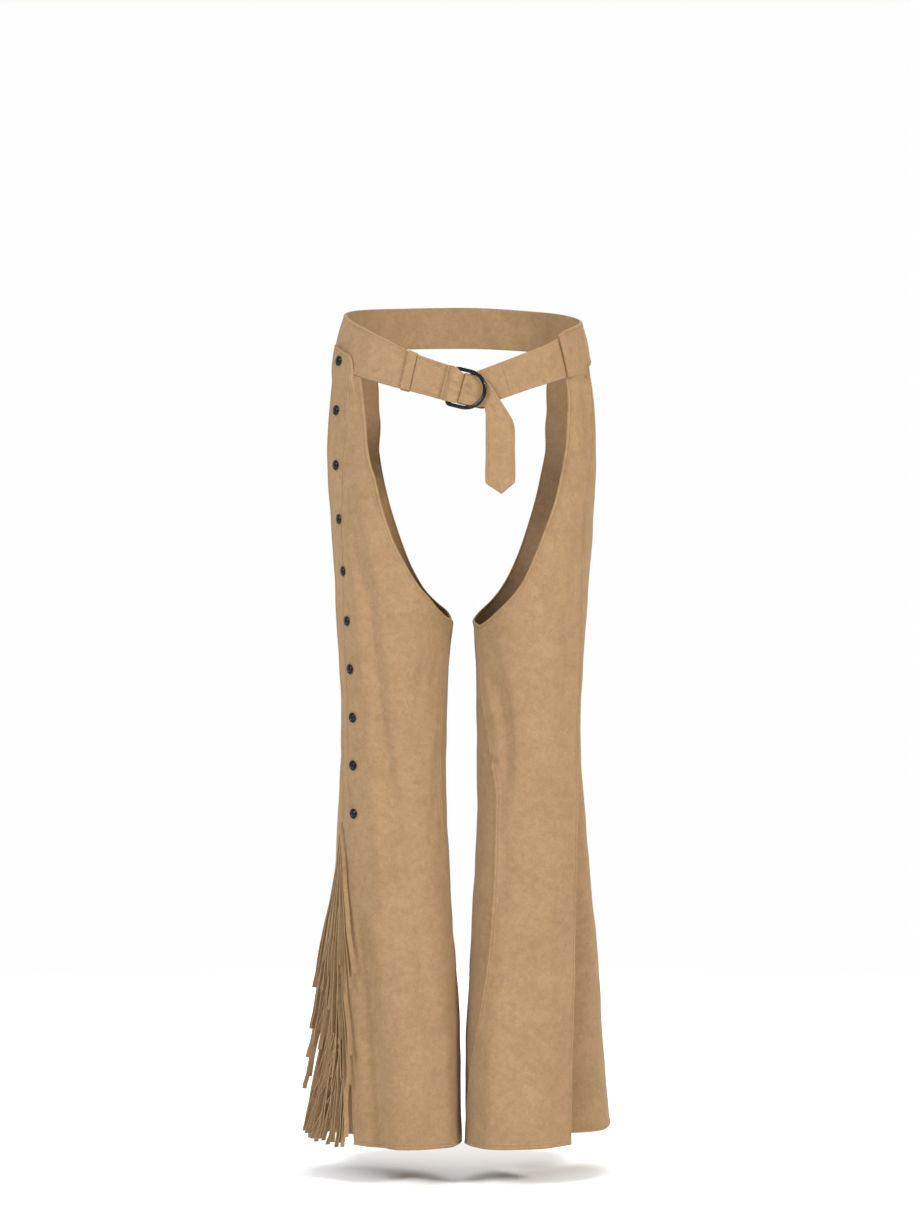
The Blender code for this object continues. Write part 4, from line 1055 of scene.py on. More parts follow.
def along_edge(grid, side, low=None, high=None, step=0.0022):
    """(z, angle, out) down one side of a panel's grid, evenly spaced, between two heights."""
    picked = np.stack([g[:, side] for g in grid], axis=1)
    keep = np.ones(len(picked), bool)
    if low is not None:
        keep &= picked[:, 0] >= low
    if high is not None:
        keep &= picked[:, 0] <= high
    picked = picked[keep]
    gaps = np.hypot(np.diff(picked[:, 0]), 0.0013 * np.diff(picked[:, 1]))
    at = np.concatenate([[0.0], np.cumsum(gaps)])
    fine = np.linspace(0, at[-1], max(8, int(at[-1] / step)))
    return [np.interp(fine, at, picked[:, k]) for k in range(3)]


def hip_guide(angle, z, lift=0.0003):
    """A guide line for stitches round the hips, at a height over the band's face."""
    line = on_hip(angle, z, np.full(len(angle), lift))
    return line, unit(on_hip(angle, z, np.full(len(angle), lift + 0.001)) - line)


def stitch_guides(edge, stop=6, trim=2):
    """A guide line for the stitches that hold a turned edge."""
    line = edge.place[stop] + edge.face[stop] * 0.00035
    return line[trim:len(line) - trim], edge.face[stop][trim:len(line) - trim]


def panels(leg, columns_front, columns_back, spacing):
    side = leg.name
    front = leg_panel(f"leg_front_{side}_suede", leg, front_rows(leg, columns_front), spacing,
                      PANEL_WALL, finish("suede"))
    # the back panel takes the darker copy of the suede, painted shade
    back = leg_panel(f"leg_back_{side}_suede", leg, back_rows(leg, columns_back), spacing,
                     PANEL_WALL, finish("suede_back"))
    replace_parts(front, f"leg_front_{side}")
    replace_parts(back, f"leg_back_{side}")
    return front, back


def flap_outline(grid):
    """(z, angle, out) up the placket's inner edge, over its flap and down to its end."""
    inner = np.array([(-0.108, 144.0), (-0.090, 145.6), (-0.072, 146.2), (-0.060, 145.8)])
    z, angle = inner.T
    start = [z, angle, flap_out(z - band_bottom(RIGHT, angle), angle)]
    top = [g[-1][grid[1][-1] > FLAP_EDGE + 0.15] for g in grid]
    down = along_edge([g[::-1] for g in grid], -1, low=SEAM_APEX - 0.004)
    line = [np.concatenate([a, b[:-1], c]) for a, b, c in zip(start, top, down)]
    gaps = np.hypot(np.diff(line[0]), 0.0014 * np.diff(line[1]))
    at = np.concatenate([[0.0], np.cumsum(gaps)])
    fine = np.linspace(0, at[-1], int(at[-1] / 0.0015))
    return [np.interp(fine, at, part) for part in line]


def leg_edges(leg):
    """The turned edges of a leg's panels and the guides of their stitches."""
    front = EDGES[f"leg_front_{leg.name}_suede"]
    back = EDGES[f"leg_back_{leg.name}_suede"]
    side = leg.name
    turn = leg.side
    made = []
    guides = []

    def turned(name, line, inward, material, height, stop=6):
        edge = edge_on(leg, *line, inward)
        made.append(edge_roll(f"{name}_{side}", edge, finish(material), height))
        if stop:
            guides.append(stitch_guides(edge, stop))

    turned("edge_opening", along_edge(front, 0, low=CROTCH + 0.012, high=-0.059), turn, "suede",
           1.0)
    if leg.flap:
        turned("edge_flap", flap_outline(front), turn, "suede", 0.9)
        turned("edge_side", along_edge(front, -1, high=SEAM_APEX), -turn, "suede", 0.5, None)
        z = np.linspace(-0.11, SEAM_APEX + 0.01, 200)
        inner = [z, pairs_at(leg.side_seam, z) - 23.0 + 9.0 * smooth((-0.12 - z) / 0.45),
                 np.zeros(200)]
        edge = edge_on(leg, *inner, turn)
        guides.append(stitch_guides(edge, 0))
    else:
        turned("edge_side", along_edge(front, -1, high=-0.052), -turn, "suede", 1.3)
    turned("edge_inseam", along_edge(front, 0, high=CROTCH + 0.024), turn, "suede", 0.8, 4)
    # the back panel's turned edges take its darker copy of the suede, painted shade
    turned("edge_opening_back", along_edge(back, -1, low=CROTCH + 0.012, high=-0.020), -turn,
           "suede_back", 1.0)
    for name, grid, material in (("front", front, "suede"), ("back", back, "suede_back")):
        z, angle, out = [g[0] for g in grid]
        fine = np.linspace(0, len(z) - 1, int(len(z) * 2.2))
        line = [np.interp(fine, np.arange(len(g)), g) for g in (z, angle, out)]
        turned(f"hem_{name}", line, -turn, material, 0.75, 8)
    return made, guides


def waistband():
    """The hip band, two thin layers sewn together round their edges."""
    count = 560
    share = np.linspace(0, 1, count)
    stops = RIBBON_STOPS
    sections = []
    for part in share:
        middle = mix((BAND_START_TOP + BAND_START_BOTTOM) / 2,
                     (BAND_END_TOP + BAND_END_BOTTOM) / 2, part)
        low = float(table(BAND, "angle", "bottom", middle))
        high = float(table(BAND, "angle", "top", middle))
        wide = high - low
        up = np.concatenate([stops, np.linspace(stops[-1], wide - stops[-1], 14)[1:-1],
                             wide - stops[::-1]])
        rise = up / wide
        angle = mix(mix(BAND_START_BOTTOM, BAND_START_TOP, rise),
                    mix(BAND_END_BOTTOM, BAND_END_TOP, rise), part)
        z = mix(table(BAND, "angle", "bottom", angle), table(BAND, "angle", "top", angle), rise)
        edge = np.minimum(up, wide - up)
        rounded = np.sqrt(np.clip(1 - (1 - np.minimum(edge / 0.0010, 1)) ** 2, 0, 1))
        ripple = 0.0011 * np.sin(angle * 0.31 + 1.0) * np.sin(angle * 0.17) * np.sin(math.pi * rise)
        sag = (angle - 106.0 + 9.0 * rise) / 2.6  # the crease between the keeper and the rings
        ripple = ripple - 0.0012 * np.exp(-sag * sag) * np.sin(math.pi * rise)
        front = rounded * (BAND_WALL / 2 + edge_height(edge) * 0.7) - BAND_WALL / 2 + ripple
        back = -rounded * BAND_WALL / 2 - BAND_WALL / 2 + ripple
        sections.append(np.concatenate([on_hip(angle, z, front),
                                        on_hip(angle, z, back)[-2:0:-1]]))
    made = swept("waistband_suede", np.array(sections), finish("suede"))
    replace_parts(made, "waistband")
    guides = []
    angle = np.linspace(BAND_START_BOTTOM + 0.6, BAND_END_BOTTOM - 0.5, 500)
    for edge, sign in (("top", -1), ("bottom", 1)):
        z = table(BAND, "angle", edge, angle) + sign * STITCH_IN
        guides.append(hip_guide(angle, z, 0.0002))
    rise = np.linspace(0.09, 0.91, 40)
    angle = mix(BAND_END_BOTTOM, BAND_END_TOP, rise) - 1.7
    z = mix(table(BAND, "angle", "bottom", angle), table(BAND, "angle", "top", angle), rise)
    guides.append(hip_guide(angle, z))
    return made, guides


def in_ring_plane(along, across, out):
    """Points by their place in the plane of the D-rings: along the belt, up it, and forward."""
    along, across, out = np.broadcast_arrays(along, across, out)
    x = along * math.cos(RING_TILT) + across * math.sin(RING_TILT)
    z = -along * math.sin(RING_TILT) + across * math.cos(RING_TILT)
    return RING_CENTRE + np.stack([x, -out, z], -1)


# Where the strap comes forward from behind the band's end, by its top's and bottom's angle
# round the hips.
StrapOut = namedtuple("StrapOut", "angle bottom_angle out")
STRAP_OUT = [StrapOut(38.5, 35.2, UNDER), StrapOut(42, 40, UNDER), StrapOut(47, 46, -0.0014),
             StrapOut(52, 51.7, 0.0), StrapOut(57, 57, 0.0), StrapOut(62, 62, 0.0),
             StrapOut(67, 67, 0.0), StrapOut(72, 72, 0.0)]
# A line across the strap: its top (on the tail, its left) and bottom end, and how far it lies in
# front of the rings' plane.
Across = namedtuple("Across", "top_x top_z bottom_x bottom_z out")
STRAP_BEHIND = [
    Across(0.0400, -0.0435, 0.0345, -0.0905, -0.0022),
    Across(0.0265, -0.0486, 0.0265, -0.0975, -0.0016),
    Across(0.0170, -0.0520, 0.0165, -0.0965, -0.0013),
]
STRAP_HANGING = [
    Across(0.0375, -0.0735, 0.0277, -0.0990, 0.0066),
    Across(0.0480, -0.0900, 0.0284, -0.1030, 0.0078),
    Across(0.0570, -0.1040, 0.0286, -0.1075, 0.0082),
    Across(0.0630, -0.1160, 0.0286, -0.1150, 0.0080),
    Across(0.0645, -0.1500, 0.0286, -0.1500, 0.0064),
    Across(0.0647, -0.1865, 0.0284, -0.1875, 0.0052),
    Across(0.0640, -0.1885, 0.0291, -0.1892, 0.0052),
    Across(0.0560, -0.1955, 0.0385, -0.1957, 0.0051),
    Across(0.0484, -0.2020, 0.0476, -0.2020, 0.0050),
]
# The same between the rings, in the rings' plane.
Between = namedtuple("Between", "top_along top bottom_along bottom out")
STRAP_BETWEEN = [
    Between(0.006, 0.0192, 0.008, -0.0192, 0.0060),
    Between(0.011, 0.0192, 0.017, -0.0180, 0.0060),
    Between(0.016, 0.0185, 0.024, -0.0160, 0.0060),
    Between(0.023, 0.0150, 0.027, -0.0155, 0.0060),
]
STRAP_TURN = 0.00365  # radius of the strap's turn round the rear ring
STRAP_TURN_ALONG = -0.0021
STRAP_TURN_OUT = 0.00235
STRAP_REACH = 0.0192  # half of the strap's width inside the rings


def across_strap(row):
    y = RING_CENTRE[1] - row.out
    return np.array((row.top_x, y, row.top_z)), np.array((row.bottom_x, y, row.bottom_z))


def strap_edges():
    """Pairs of (top, bottom) points along the middle of the strap's thickness."""
    half = SOLID_WALL / 2
    pairs = []
    for row in STRAP_OUT:
        pairs.append((on_hip(row.angle, table(STRAP, "angle", "top", row.angle), row.out - half),
                      on_hip(row.bottom_angle,
                             table(STRAP, "angle", "bottom", row.bottom_angle), row.out - half)))
    pairs += [across_strap(row) for row in STRAP_BEHIND]
    for degrees in (-90, -45, 0, 45, 90):
        turn = math.radians(degrees)
        along = STRAP_TURN_ALONG - STRAP_TURN * math.cos(turn)
        out = STRAP_TURN_OUT + STRAP_TURN * math.sin(turn)
        pairs.append((in_ring_plane(along, STRAP_REACH, out),
                      in_ring_plane(along, -STRAP_REACH, out)))
    for row in STRAP_BETWEEN:
        pairs.append((in_ring_plane(row.top_along, row.top, row.out),
                      in_ring_plane(row.bottom_along, row.bottom, row.out)))
    return np.array(pairs + [across_strap(row) for row in STRAP_HANGING])


def strap_relief(past, across):
    """Creases of the strap, by the distance past its turn: crumpled where the rings grip it,
    sunk beside the turn, and one fold line down its tail."""
    grip = math.exp(-((past - 0.014) / 0.009) ** 2)
    dent = -0.0030 * math.exp(-((past - 0.009) / 0.004) ** 2)
    dent = dent * np.exp(-((across - 0.58) / 0.07) ** 2)
    lobes = 0.0012 * np.sin(across * 11.0 + 0.4)
    flap = -0.0020 * np.exp(-((across - 0.34 + 5.0 * (past - 0.014)) / 0.045) ** 2)
    sunk = -0.0018 * math.exp(-((past - 0.0055) / 0.0020) ** 2)
    fold = 0.0011 * np.exp(-((across - 0.36) / 0.10) ** 2) * smooth((past - 0.03) / 0.02)
    bend = 0.0010 * math.sin(past * 70.0 + 2.0) * np.sin(across * 3.0 + 0.5)
    return grip * (lobes + flap) + dent + sunk - fold + bend * (0.5 if past < 0 else 0.9)


def belt_strap():
    pairs = smooth_line(strap_edges(), 300)
    middle = pairs.mean(axis=1)
    steps = np.linalg.norm(np.diff(middle, axis=0), axis=1)
    past = np.concatenate([[0.0], np.cumsum(steps)])
    past = past - past[middle[:, 0].argmin()]
    made = ribbon("belt_strap_suede", pairs[:, 0], pairs[:, 1], SOLID_WALL * 0.95,
                  finish("suede"), lambda k, across: strap_relief(past[k], across))
    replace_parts(made, "belt_strap")
    width = np.linalg.norm(pairs[:, 0] - pairs[:, 1], axis=1)
    across = unit(pairs[:, 0] - pairs[:, 1])
    face = unit(np.cross(unit(np.gradient(middle, axis=0)), across))
    guides = []
    behind = np.nonzero((past > -0.105) & (past < -0.012))[0]
    hanging = np.nonzero((past > 0.024) & (past < past[-1] - 0.022))[0]
    for edge, sign in ((0, -1), (1, 1)):
        line = pairs[:, edge] + across * (sign * STITCH_IN)
        share = STITCH_IN / width if edge else 1 - STITCH_IN / width
        push = np.array([float(strap_relief(p, s)) for p, s in zip(past, share)])
        line = line + face * (SOLID_WALL / 2 + 0.0001 + push)[:, None]
        for kept in (behind, hanging):
            guides.append((line[kept], face[kept]))
    share = np.linspace(0.05, 0.95, 30)
    angle = mix(69.0, 73.0, share)
    z = mix(table(STRAP, "angle", "bottom", angle), table(STRAP, "angle", "top", angle), share)
    guides.append(hip_guide(angle, z))
    return made, guides


def d_ring(name, shift, bar_out, arc_out, wire):
    """A D bent from round wire: an arc, two straight sides, two corners and the bar."""
    arc = np.radians(np.linspace(-90, 90, 73))
    corner = np.radians(np.linspace(0, 90, 12))
    upper = np.stack([-RING_SIDE - RING_CORNER * np.sin(corner),
                      RING_ARC - RING_CORNER * (1 - np.cos(corner))], -1)
    sides = np.linspace(0, 1, 12)[1:-1]
    top_side = np.stack([-RING_SIDE * sides, np.full(10, RING_ARC)], -1)
    bar = np.stack([np.full(20, -RING_SIDE - RING_CORNER),
                    np.linspace(1, -1, 22)[1:-1] * (RING_ARC - RING_CORNER)], -1)
    round_it = np.stack([RING_ARC * np.cos(arc), RING_ARC * np.sin(arc)], -1)
    flip = np.array([1.0, -1.0])
    places = np.concatenate([round_it, top_side, upper, bar, (upper * flip)[::-1],
                             (top_side * flip)[::-1]])
    width = RING_ARC + RING_SIDE + RING_CORNER
    out = mix(bar_out, arc_out, (places[:, 0] + RING_SIDE + RING_CORNER) / width)
    line = in_ring_plane(places[:, 0] + shift, places[:, 1], out)
    along = unit(np.roll(line, -1, axis=0) - np.roll(line, 1, axis=0))
    front = np.broadcast_to((0.0, -1.0, 0.0), along.shape)
    side = unit(np.cross(along, front))
    front = unit(np.cross(side, along))
    turns = np.radians(np.arange(0, 360, 18))
    loops = [line + (wire / 2) * (side * math.cos(t) + front * math.sin(t)) for t in turns]
    return swept(name, np.stack(loops, axis=1), finish("gunmetal"), cyclic=True)


# The folded end that holds both bars, as the middle of the leather's thickness: from behind the
# band, round its fold and over the bars to its front end, which is sewn down on the band.
TabPlace = namedtuple("TabPlace", "along out top bottom")
TAB = [
    TabPlace(-0.0350, -0.0062, 0.0232, -0.0190), TabPlace(-0.0300, -0.0057, 0.0232, -0.0190),
    TabPlace(-0.0256, -0.0050, 0.0232, -0.0192), TabPlace(-0.0216, -0.0035, 0.0226, -0.0195),
    TabPlace(-0.0160, -0.0034, 0.0214, -0.0195), TabPlace(-0.0105, -0.0033, 0.0192, -0.0192),
    TabPlace(-0.0086, -0.0024, 0.0180, -0.0186), TabPlace(-0.0077, 0.0000, 0.0177, -0.0184),
    TabPlace(-0.0077, 0.0045, 0.0177, -0.0184), TabPlace(-0.0089, 0.0074, 0.0183, -0.0190),
    TabPlace(-0.0111, 0.0083, 0.0194, -0.0198), TabPlace(-0.0150, 0.0084, 0.0216, -0.0202),
    TabPlace(-0.0178, 0.0083, 0.0230, -0.0202), TabPlace(-0.0200, 0.0076, 0.0237, -0.0200),
    TabPlace(-0.0218, 0.0058, 0.0240, -0.0198), TabPlace(-0.0233, 0.0034, 0.0241, -0.0196),
    TabPlace(-0.0249, 0.0017, 0.0241, -0.0194), TabPlace(-0.0266, 0.0012, 0.0241, -0.0193),
    TabPlace(-0.0284, 0.0011, 0.0241, -0.0192),
]


def tab_relief(run, across):
    """The leather's soft bulge over the bars, with the crease and the loop of its worn end."""
    over = math.exp(-((run - 0.74) / 0.09) ** 2)
    crease = -0.0022 * np.exp(-((across - 0.62) / 0.040) ** 2)
    loop = 0.0015 * np.exp(-((np.abs(across - 0.42) - 0.15) / 0.05) ** 2)
    return over * (crease + loop)


def ring_tab():
    stations = 120
    tops = np.array([in_ring_plane(p.along, p.top, p.out) for p in TAB])
    bottoms = np.array([in_ring_plane(p.along, p.bottom, p.out) for p in TAB])
    pairs = smooth_line(np.stack([tops, bottoms], axis=1), stations)
    made = ribbon("dring_tab_suede", pairs[:, 0], pairs[:, 1], 0.0019, finish("suede"),
                  lambda k, across: tab_relief(k / stations, across), lips=False)
    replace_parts(made, "dring_tab")
    reach = np.linspace(0.0228, -0.0180, 30)
    line = in_ring_plane(-0.0262, reach, 0.0024)
    return made, [(line, np.tile((0.0, -1.0, 0.0), (30, 1)))]


def belt_loop():
    """The keeper: a narrow strip all round the band."""
    clear = 0.0006 + LOOP_WALL / 2
    rises = np.linspace(0.012, 0.985, 14)
    places = [(clear + 0.0004, rise) for rise in rises] + [(-BAND_WALL / 2, 1.014)]
    places += [(-BAND_WALL - clear, rise) for rise in rises[::-1]] + [(-BAND_WALL / 2, -0.016)]
    edges = []
    for out, rise in places + places[:1]:
        pair = []
        for turn in (-1, 1):
            at = LOOP_ANGLE + (0.5 - rise) * 3.0 + turn * LOOP_WIDTH / 2
            z = mix(table(BAND, "angle", "bottom", at), table(BAND, "angle", "top", at), rise)
            pair.append(on_hip(at, z, out))
        edges.append(pair)
    edges = np.array(edges)
    steps = np.linalg.norm(np.diff(edges.mean(axis=1), axis=0), axis=1)
    at = np.concatenate([[0.0], np.cumsum(steps)])
    even = np.linspace(0, at[-1], 160)
    pairs = np.stack([np.interp(even, at, column) for column in edges.reshape(-1, 6).T], axis=-1)
    pairs = pairs.reshape(-1, 2, 3)
    made = ribbon("belt_loop_suede", pairs[:, 0], pairs[:, 1], LOOP_WALL, finish("suede"),
                  lips=False)
    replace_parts(made, "belt_loop")
    return made


def snaps(radius):
    """Ten caps down the placket and the stud behind each."""
    for part, out, turn in (("cap", 0.0008, 1.0), ("stud", BACK_FACE - SOLID_WALL - 0.0009, -1.0)):
        places = []
        faces = []
        for snap in SNAPS:
            level = snap.z - band_bottom(RIGHT, snap.angle)
            lifted = flap_share(level) * OVER if part == "cap" else 0.0
            place, face = on_cloth(RIGHT, snap.z, snap.angle, np.array(out + lifted))
            places.append(place[None])
            faces.append(face[None] * turn)
        tree = bpy.data.node_groups.get("Snap caps") or snap_tree()
        sizes = {"Radius": radius} if part == "cap" else {
            "Radius": radius * 0.76, "Rim": 0.0006, "Dome Height": 0.0007}
        made = grown(f"snap_{part}s", places, faces, tree, finish("gunmetal"), sizes)
        made.data.set_sharp_from_angle(angle=math.radians(40))
        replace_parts(made, *[f"snap_{part}_{k:02d}" for k in range(1, len(SNAPS) + 1)])


def fringe(count, width):
    """Hand-cut strips that overlap, sewn one below another into the side seam."""
    draw = np.random.default_rng(7)
    lines = []
    faces = []
    plain = RIGHT._replace(folds=[], pleat=Pleat(0.0, 1.0, HEM_Z - 1.0), creases=[])
    stations = 26
    for k in range(count):
        start = mix(FRINGE_TOP, FRINGE_LAST, k / count)
        length = draw.uniform(*STRIP_LENGTHS)
        end = max(start - length, -1.011 + draw.uniform(0.0, 0.010))
        t = np.linspace(0, 1, stations)
        z = mix(start, end, t)
        front = table(FRINGE, "z", "front", z)
        outer = table(FRINGE, "z", "outer", z)
        spread = (0.618 * k + draw.uniform(-0.04, 0.04)) % 1.0
        lean = mix(0.04, 0.92, spread)
        sway = 0.5 * np.sin(t * draw.uniform(2.5, 6.0) + draw.uniform(0, 6.28)) * t
        hang = mix(pairs_at(RIGHT.side_seam, start), mix(front[-1], outer[-1], lean), t ** 0.85)
        angle = np.clip(hang + sway, front + 0.8, outer - 0.8)
        reach = table(FRINGE, "z", "far", z)
        near = table(FRINGE, "z", "near", z)
        layer = np.clip(0.12 + 0.72 * t ** 0.8 + draw.uniform(-0.10, 0.12), 0.05, 0.94)
        out = mix(near, reach - 0.0008, layer) * smooth(t / 0.07 + 0.05)
        out = out - 0.0008 * (1 - smooth(t / 0.05))
        curl = 0.0025 * draw.uniform(-0.3, 1.0) * smooth((t - 0.86) / 0.14)
        place, face = on_cloth(plain, z, angle, out + curl)
        run = unit(np.gradient(place, axis=0))
        side = unit(np.cross(run, face))
        twist = math.radians(draw.uniform(-16, 16)) * smooth((t - 0.10) / 0.7)
        wave = np.sin(t * draw.uniform(3, 9) + draw.uniform(0, 6.28))
        twist = twist + math.radians(7) * wave * t
        lines.append(place)
        faces.append(face * np.cos(twist)[:, None] + side * np.sin(twist)[:, None])
    # the strips take the lighter copy of the suede, painted light
    made = grown("fringe_right_suede", lines, faces, strip_tree(), finish("suede_fringe"),
                 {"Strip Width": width})
    made.data.set_sharp_from_angle(angle=math.radians(40))
    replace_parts(made, "fringe_right")
    return made


def sewing(name, guides, pitch):
    lines = [line for line, _ in guides]
    faces = [face for _, face in guides]
    tree = bpy.data.node_groups.get("Top stitching") or stitch_tree()
    return grown(name, lines, faces, tree, finish("thread"), {"Pitch": pitch})


# ---------------------------------------------------------------- what a user may change
class ChapsSizes(bpy.types.PropertyGroup):
    """Sizes of the pieces that the frame leaves free"""

    front_columns: bpy.props.IntProperty(
        name="Front panel columns", description="Fineness of a front panel", default=112, min=40)
    back_columns: bpy.props.IntProperty(
        name="Back panel columns", description="Fineness of a back panel", default=140, min=40)
    row_spacing: bpy.props.FloatProperty(
        name="Row spacing", description="Height of a panel's rows", default=0.0033, min=0.002,
        unit="LENGTH", subtype="DISTANCE")
    stitch_pitch: bpy.props.FloatProperty(
        name="Stitch pitch", description="Distance from stitch to stitch", default=0.0033,
        min=0.002, unit="LENGTH", subtype="DISTANCE")
    ring_wire: bpy.props.FloatProperty(
        name="Ring wire", description="Thickness of the D-rings' wire", default=RING_WIRE,
        min=0.002, max=0.0048, unit="LENGTH", subtype="DISTANCE")
    snap_radius: bpy.props.FloatProperty(
        name="Snap radius", description="Radius of a snap's cap", default=SNAP_RADIUS, min=0.004,
        max=0.007, unit="LENGTH", subtype="DISTANCE")
    strip_count: bpy.props.IntProperty(
        name="Fringe strips", description="Strips in the side fringe", default=50, min=20)
    strip_width: bpy.props.FloatProperty(
        name="Strip width", description="Width of a fringe strip", default=0.0056, min=0.003,
        unit="LENGTH", subtype="DISTANCE")


class ChapsFinish(bpy.types.PropertyGroup):
    """Colours of the finishes, as sRGB hex values"""

    nap: bpy.props.StringProperty(
        name="Suede", description="The brushed suede's middle tone", default="886E50")
    nap_dark: bpy.props.StringProperty(
        name="Suede, dark", description="The nap stroked against the light", default="7B6246")
    nap_light: bpy.props.StringProperty(
        name="Suede, light", description="The nap stroked with the light", default="94795A")
    metal: bpy.props.StringProperty(
        name="Black nickel", description="The rings and snaps", default="2A2929")
    thread: bpy.props.StringProperty(
        name="Thread", description="The top stitching", default="8F7452")


class CHAPS_OT_panels(bpy.types.Operator):
    """Make the four leg panels from their rings, folds and creases"""

    bl_idname = "chaps.panels"
    bl_label = "Leg panels"

    def execute(self, context):
        sizes = context.scene.chaps_sizes
        for leg in (RIGHT, LEFT):
            panels(leg, sizes.front_columns, sizes.back_columns, sizes.row_spacing)
        return {"FINISHED"}


class CHAPS_OT_edges(bpy.types.Operator):
    """Turn the panels' edges and sew them down"""

    bl_idname = "chaps.edges"
    bl_label = "Turned edges and hems"

    def execute(self, context):
        pitch = context.scene.chaps_sizes.stitch_pitch
        for leg in (RIGHT, LEFT):
            edges, guides = leg_edges(leg)
            stitches = sewing(f"stitches_{leg.name}", guides, pitch)
        return {"FINISHED"}


class CHAPS_OT_belt(bpy.types.Operator):
    """Make the waistband, its keeper, the strap and the tab that holds the rings"""

    bl_idname = "chaps.belt"
    bl_label = "Waistband and belt"

    def execute(self, context):
        band, guides = waistband()
        strap, more = belt_strap()
        tab, across = ring_tab()
        keeper = belt_loop()
        pitch = context.scene.chaps_sizes.stitch_pitch
        stitches = sewing("stitches_belt", guides + more + across, pitch)
        return {"FINISHED"}


class CHAPS_OT_rings(bpy.types.Operator):
    """Bend the two D-rings from wire"""

    bl_idname = "chaps.rings"
    bl_label = "D-rings"

    def execute(self, context):
        wire = context.scene.chaps_sizes.ring_wire
        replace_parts(d_ring("dring_back_wire", -0.0018, 0.0008, 0.0026, wire), "dring_back")
        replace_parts(d_ring("dring_front_wire", 0.0, 0.0049, 0.0112, wire), "dring_front")
        return {"FINISHED"}


class CHAPS_OT_snaps(bpy.types.Operator):
    """Set the snaps down the placket"""

    bl_idname = "chaps.snaps"
    bl_label = "Snaps"

    def execute(self, context):
        snaps(context.scene.chaps_sizes.snap_radius)
        return {"FINISHED"}


class CHAPS_OT_fringe(bpy.types.Operator):
    """Hang the fringe from the right leg's side seam"""

    bl_idname = "chaps.fringe"
    bl_label = "Fringe"

    def execute(self, context):
        sizes = context.scene.chaps_sizes
        fringe(sizes.strip_count, sizes.strip_width)
        return {"FINISHED"}


class CHAPS_OT_stage(bpy.types.Operator):
    """Set up the floor, the studio light and the camera"""

    bl_idname = "chaps.stage"
    bl_label = "Stage"

    def execute(self, context):
        floor()
        lights()
        camera()
        return {"FINISHED"}


STEPS = (CHAPS_OT_panels, CHAPS_OT_edges, CHAPS_OT_belt, CHAPS_OT_rings, CHAPS_OT_snaps,
         CHAPS_OT_fringe, CHAPS_OT_stage)


class CHAPS_PT_sidebar(bpy.types.Panel):
    """Lists the chaps' sizes, colours and steps"""

    bl_label = "Suede chaps"
    bl_idname = "CHAPS_PT_sidebar"
    bl_space_type = "VIEW_3D"
    bl_region_type = "UI"
    bl_category = "Chaps"

    def draw(self, context):
        for group in (context.scene.chaps_sizes, context.scene.chaps_finish):
            box = self.layout.box()
            for name in group.__annotations__:
                box.prop(group, name)
        for step in STEPS:
            self.layout.operator(step.bl_idname)


# ---------------------------------------------------------------- the stage
def floor():
    low = CAD_BOX[0][2]
    mesh = bpy.data.meshes.new("floor")
    body = bmesh.new()
    bmesh.ops.create_circle(body, cap_ends=True, segments=96, radius=2.6)
    body.to_mesh(mesh)
    body.free()
    mesh.transform(Matrix.Translation((0, 0, low - HEM_ABOVE_FLOOR)))
    mesh.materials.append(painted_floor("painted_floor"))
    made = bpy.data.objects.new("floor", mesh)
    bpy.context.scene.collection.objects.link(made)


def area_light(name, place, aim, size, power, colour):
    light = bpy.data.lights.new(name, "AREA")
    light.shape = "DISK"
    light.size = size
    light.energy = power
    light.color = linear(colour)[:3]
    made = bpy.data.objects.new(name, light)
    made.location = place
    made.rotation_euler = (Vector(aim) - Vector(place)).to_track_quat("-Z", "Y").to_euler()
    bpy.context.scene.collection.objects.link(made)


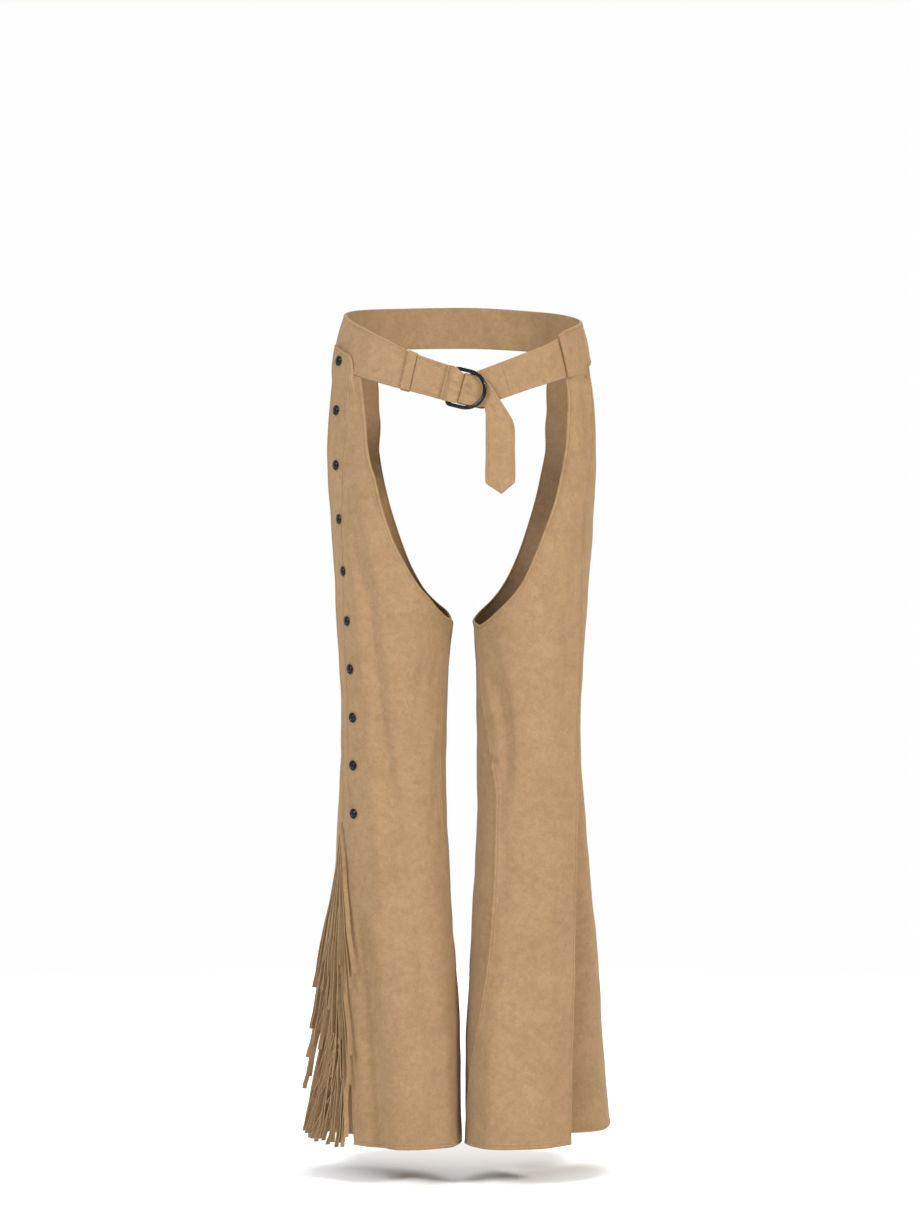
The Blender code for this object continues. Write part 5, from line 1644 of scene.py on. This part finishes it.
def lights():
    """A white studio: an even surround, a key high on the right, a wider fill on the left and a
    light behind."""
    world = bpy.data.worlds.new("studio")
    world.use_nodes = True
    tree = world.node_tree
    surround = tree.nodes["Background"]
    surround.inputs["Color"].default_value = linear("FFFFFF")
    surround.inputs["Strength"].default_value = 0.66
    backdrop = add_node(tree, "ShaderNodeBackground",
                        values={"Color": linear("FFFFFF"), "Strength": 0.99})
    seen = add_node(tree, "ShaderNodeLightPath").outputs["Is Camera Ray"]
    either = add_node(tree, "ShaderNodeMixShader",
                      links={0: seen, 1: surround.outputs[0], 2: backdrop.outputs[0]})
    tree.links.new(either.outputs[0], tree.nodes["World Output"].inputs["Surface"])
    bpy.context.scene.world = world
    middle = (0.0, 0.0, -0.5)
    area_light("key", (2.8, -2.7, 1.4), middle, 1.0, 152.0, "FFFAF2")
    area_light("fill", (-2.2, -2.8, 1.8), (0.0, 0.0, -0.1), 1.6, 150.0, "F8FAFF")
    area_light("back", (0.5, 3.2, 2.0), middle, 2.0, 90.0, "FFFFFF")
    bpy.context.scene.view_settings.view_transform = "Standard"


def camera():
    """A long lens, level, a little below the hips."""
    lens = bpy.data.cameras.new("camera")
    lens.lens = 106.67
    lens.sensor_width = 36.0
    lens.clip_end = 60.0
    made = bpy.data.objects.new("camera", lens)
    made.location = (-0.0069, -4.5, -0.3406)
    made.rotation_euler = (math.radians(90), 0, 0)
    bpy.context.scene.collection.objects.link(made)
    bpy.context.scene.camera = made


# ---------------------------------------------------------------- registration
def register():
    for group in (ChapsSizes, ChapsFinish):
        bpy.utils.register_class(group)
    bpy.types.Scene.chaps_sizes = bpy.props.PointerProperty(type=ChapsSizes)
    bpy.types.Scene.chaps_finish = bpy.props.PointerProperty(type=ChapsFinish)
    for step in STEPS:
        bpy.utils.register_class(step)
    bpy.utils.register_class(CHAPS_PT_sidebar)


def unregister():
    bpy.utils.unregister_class(CHAPS_PT_sidebar)
    for step in reversed(STEPS):
        bpy.utils.unregister_class(step)
    del bpy.types.Scene.chaps_finish
    del bpy.types.Scene.chaps_sizes
    for group in (ChapsFinish, ChapsSizes):
        bpy.utils.unregister_class(group)


def main():
    register()
    bpy.ops.chaps.stage()
    bpy.ops.chaps.belt()
    bpy.ops.chaps.panels()
    bpy.ops.chaps.edges()
    bpy.ops.chaps.rings()
    bpy.ops.chaps.snaps()
    bpy.ops.chaps.fringe()


if __name__ == "__main__":
    main()
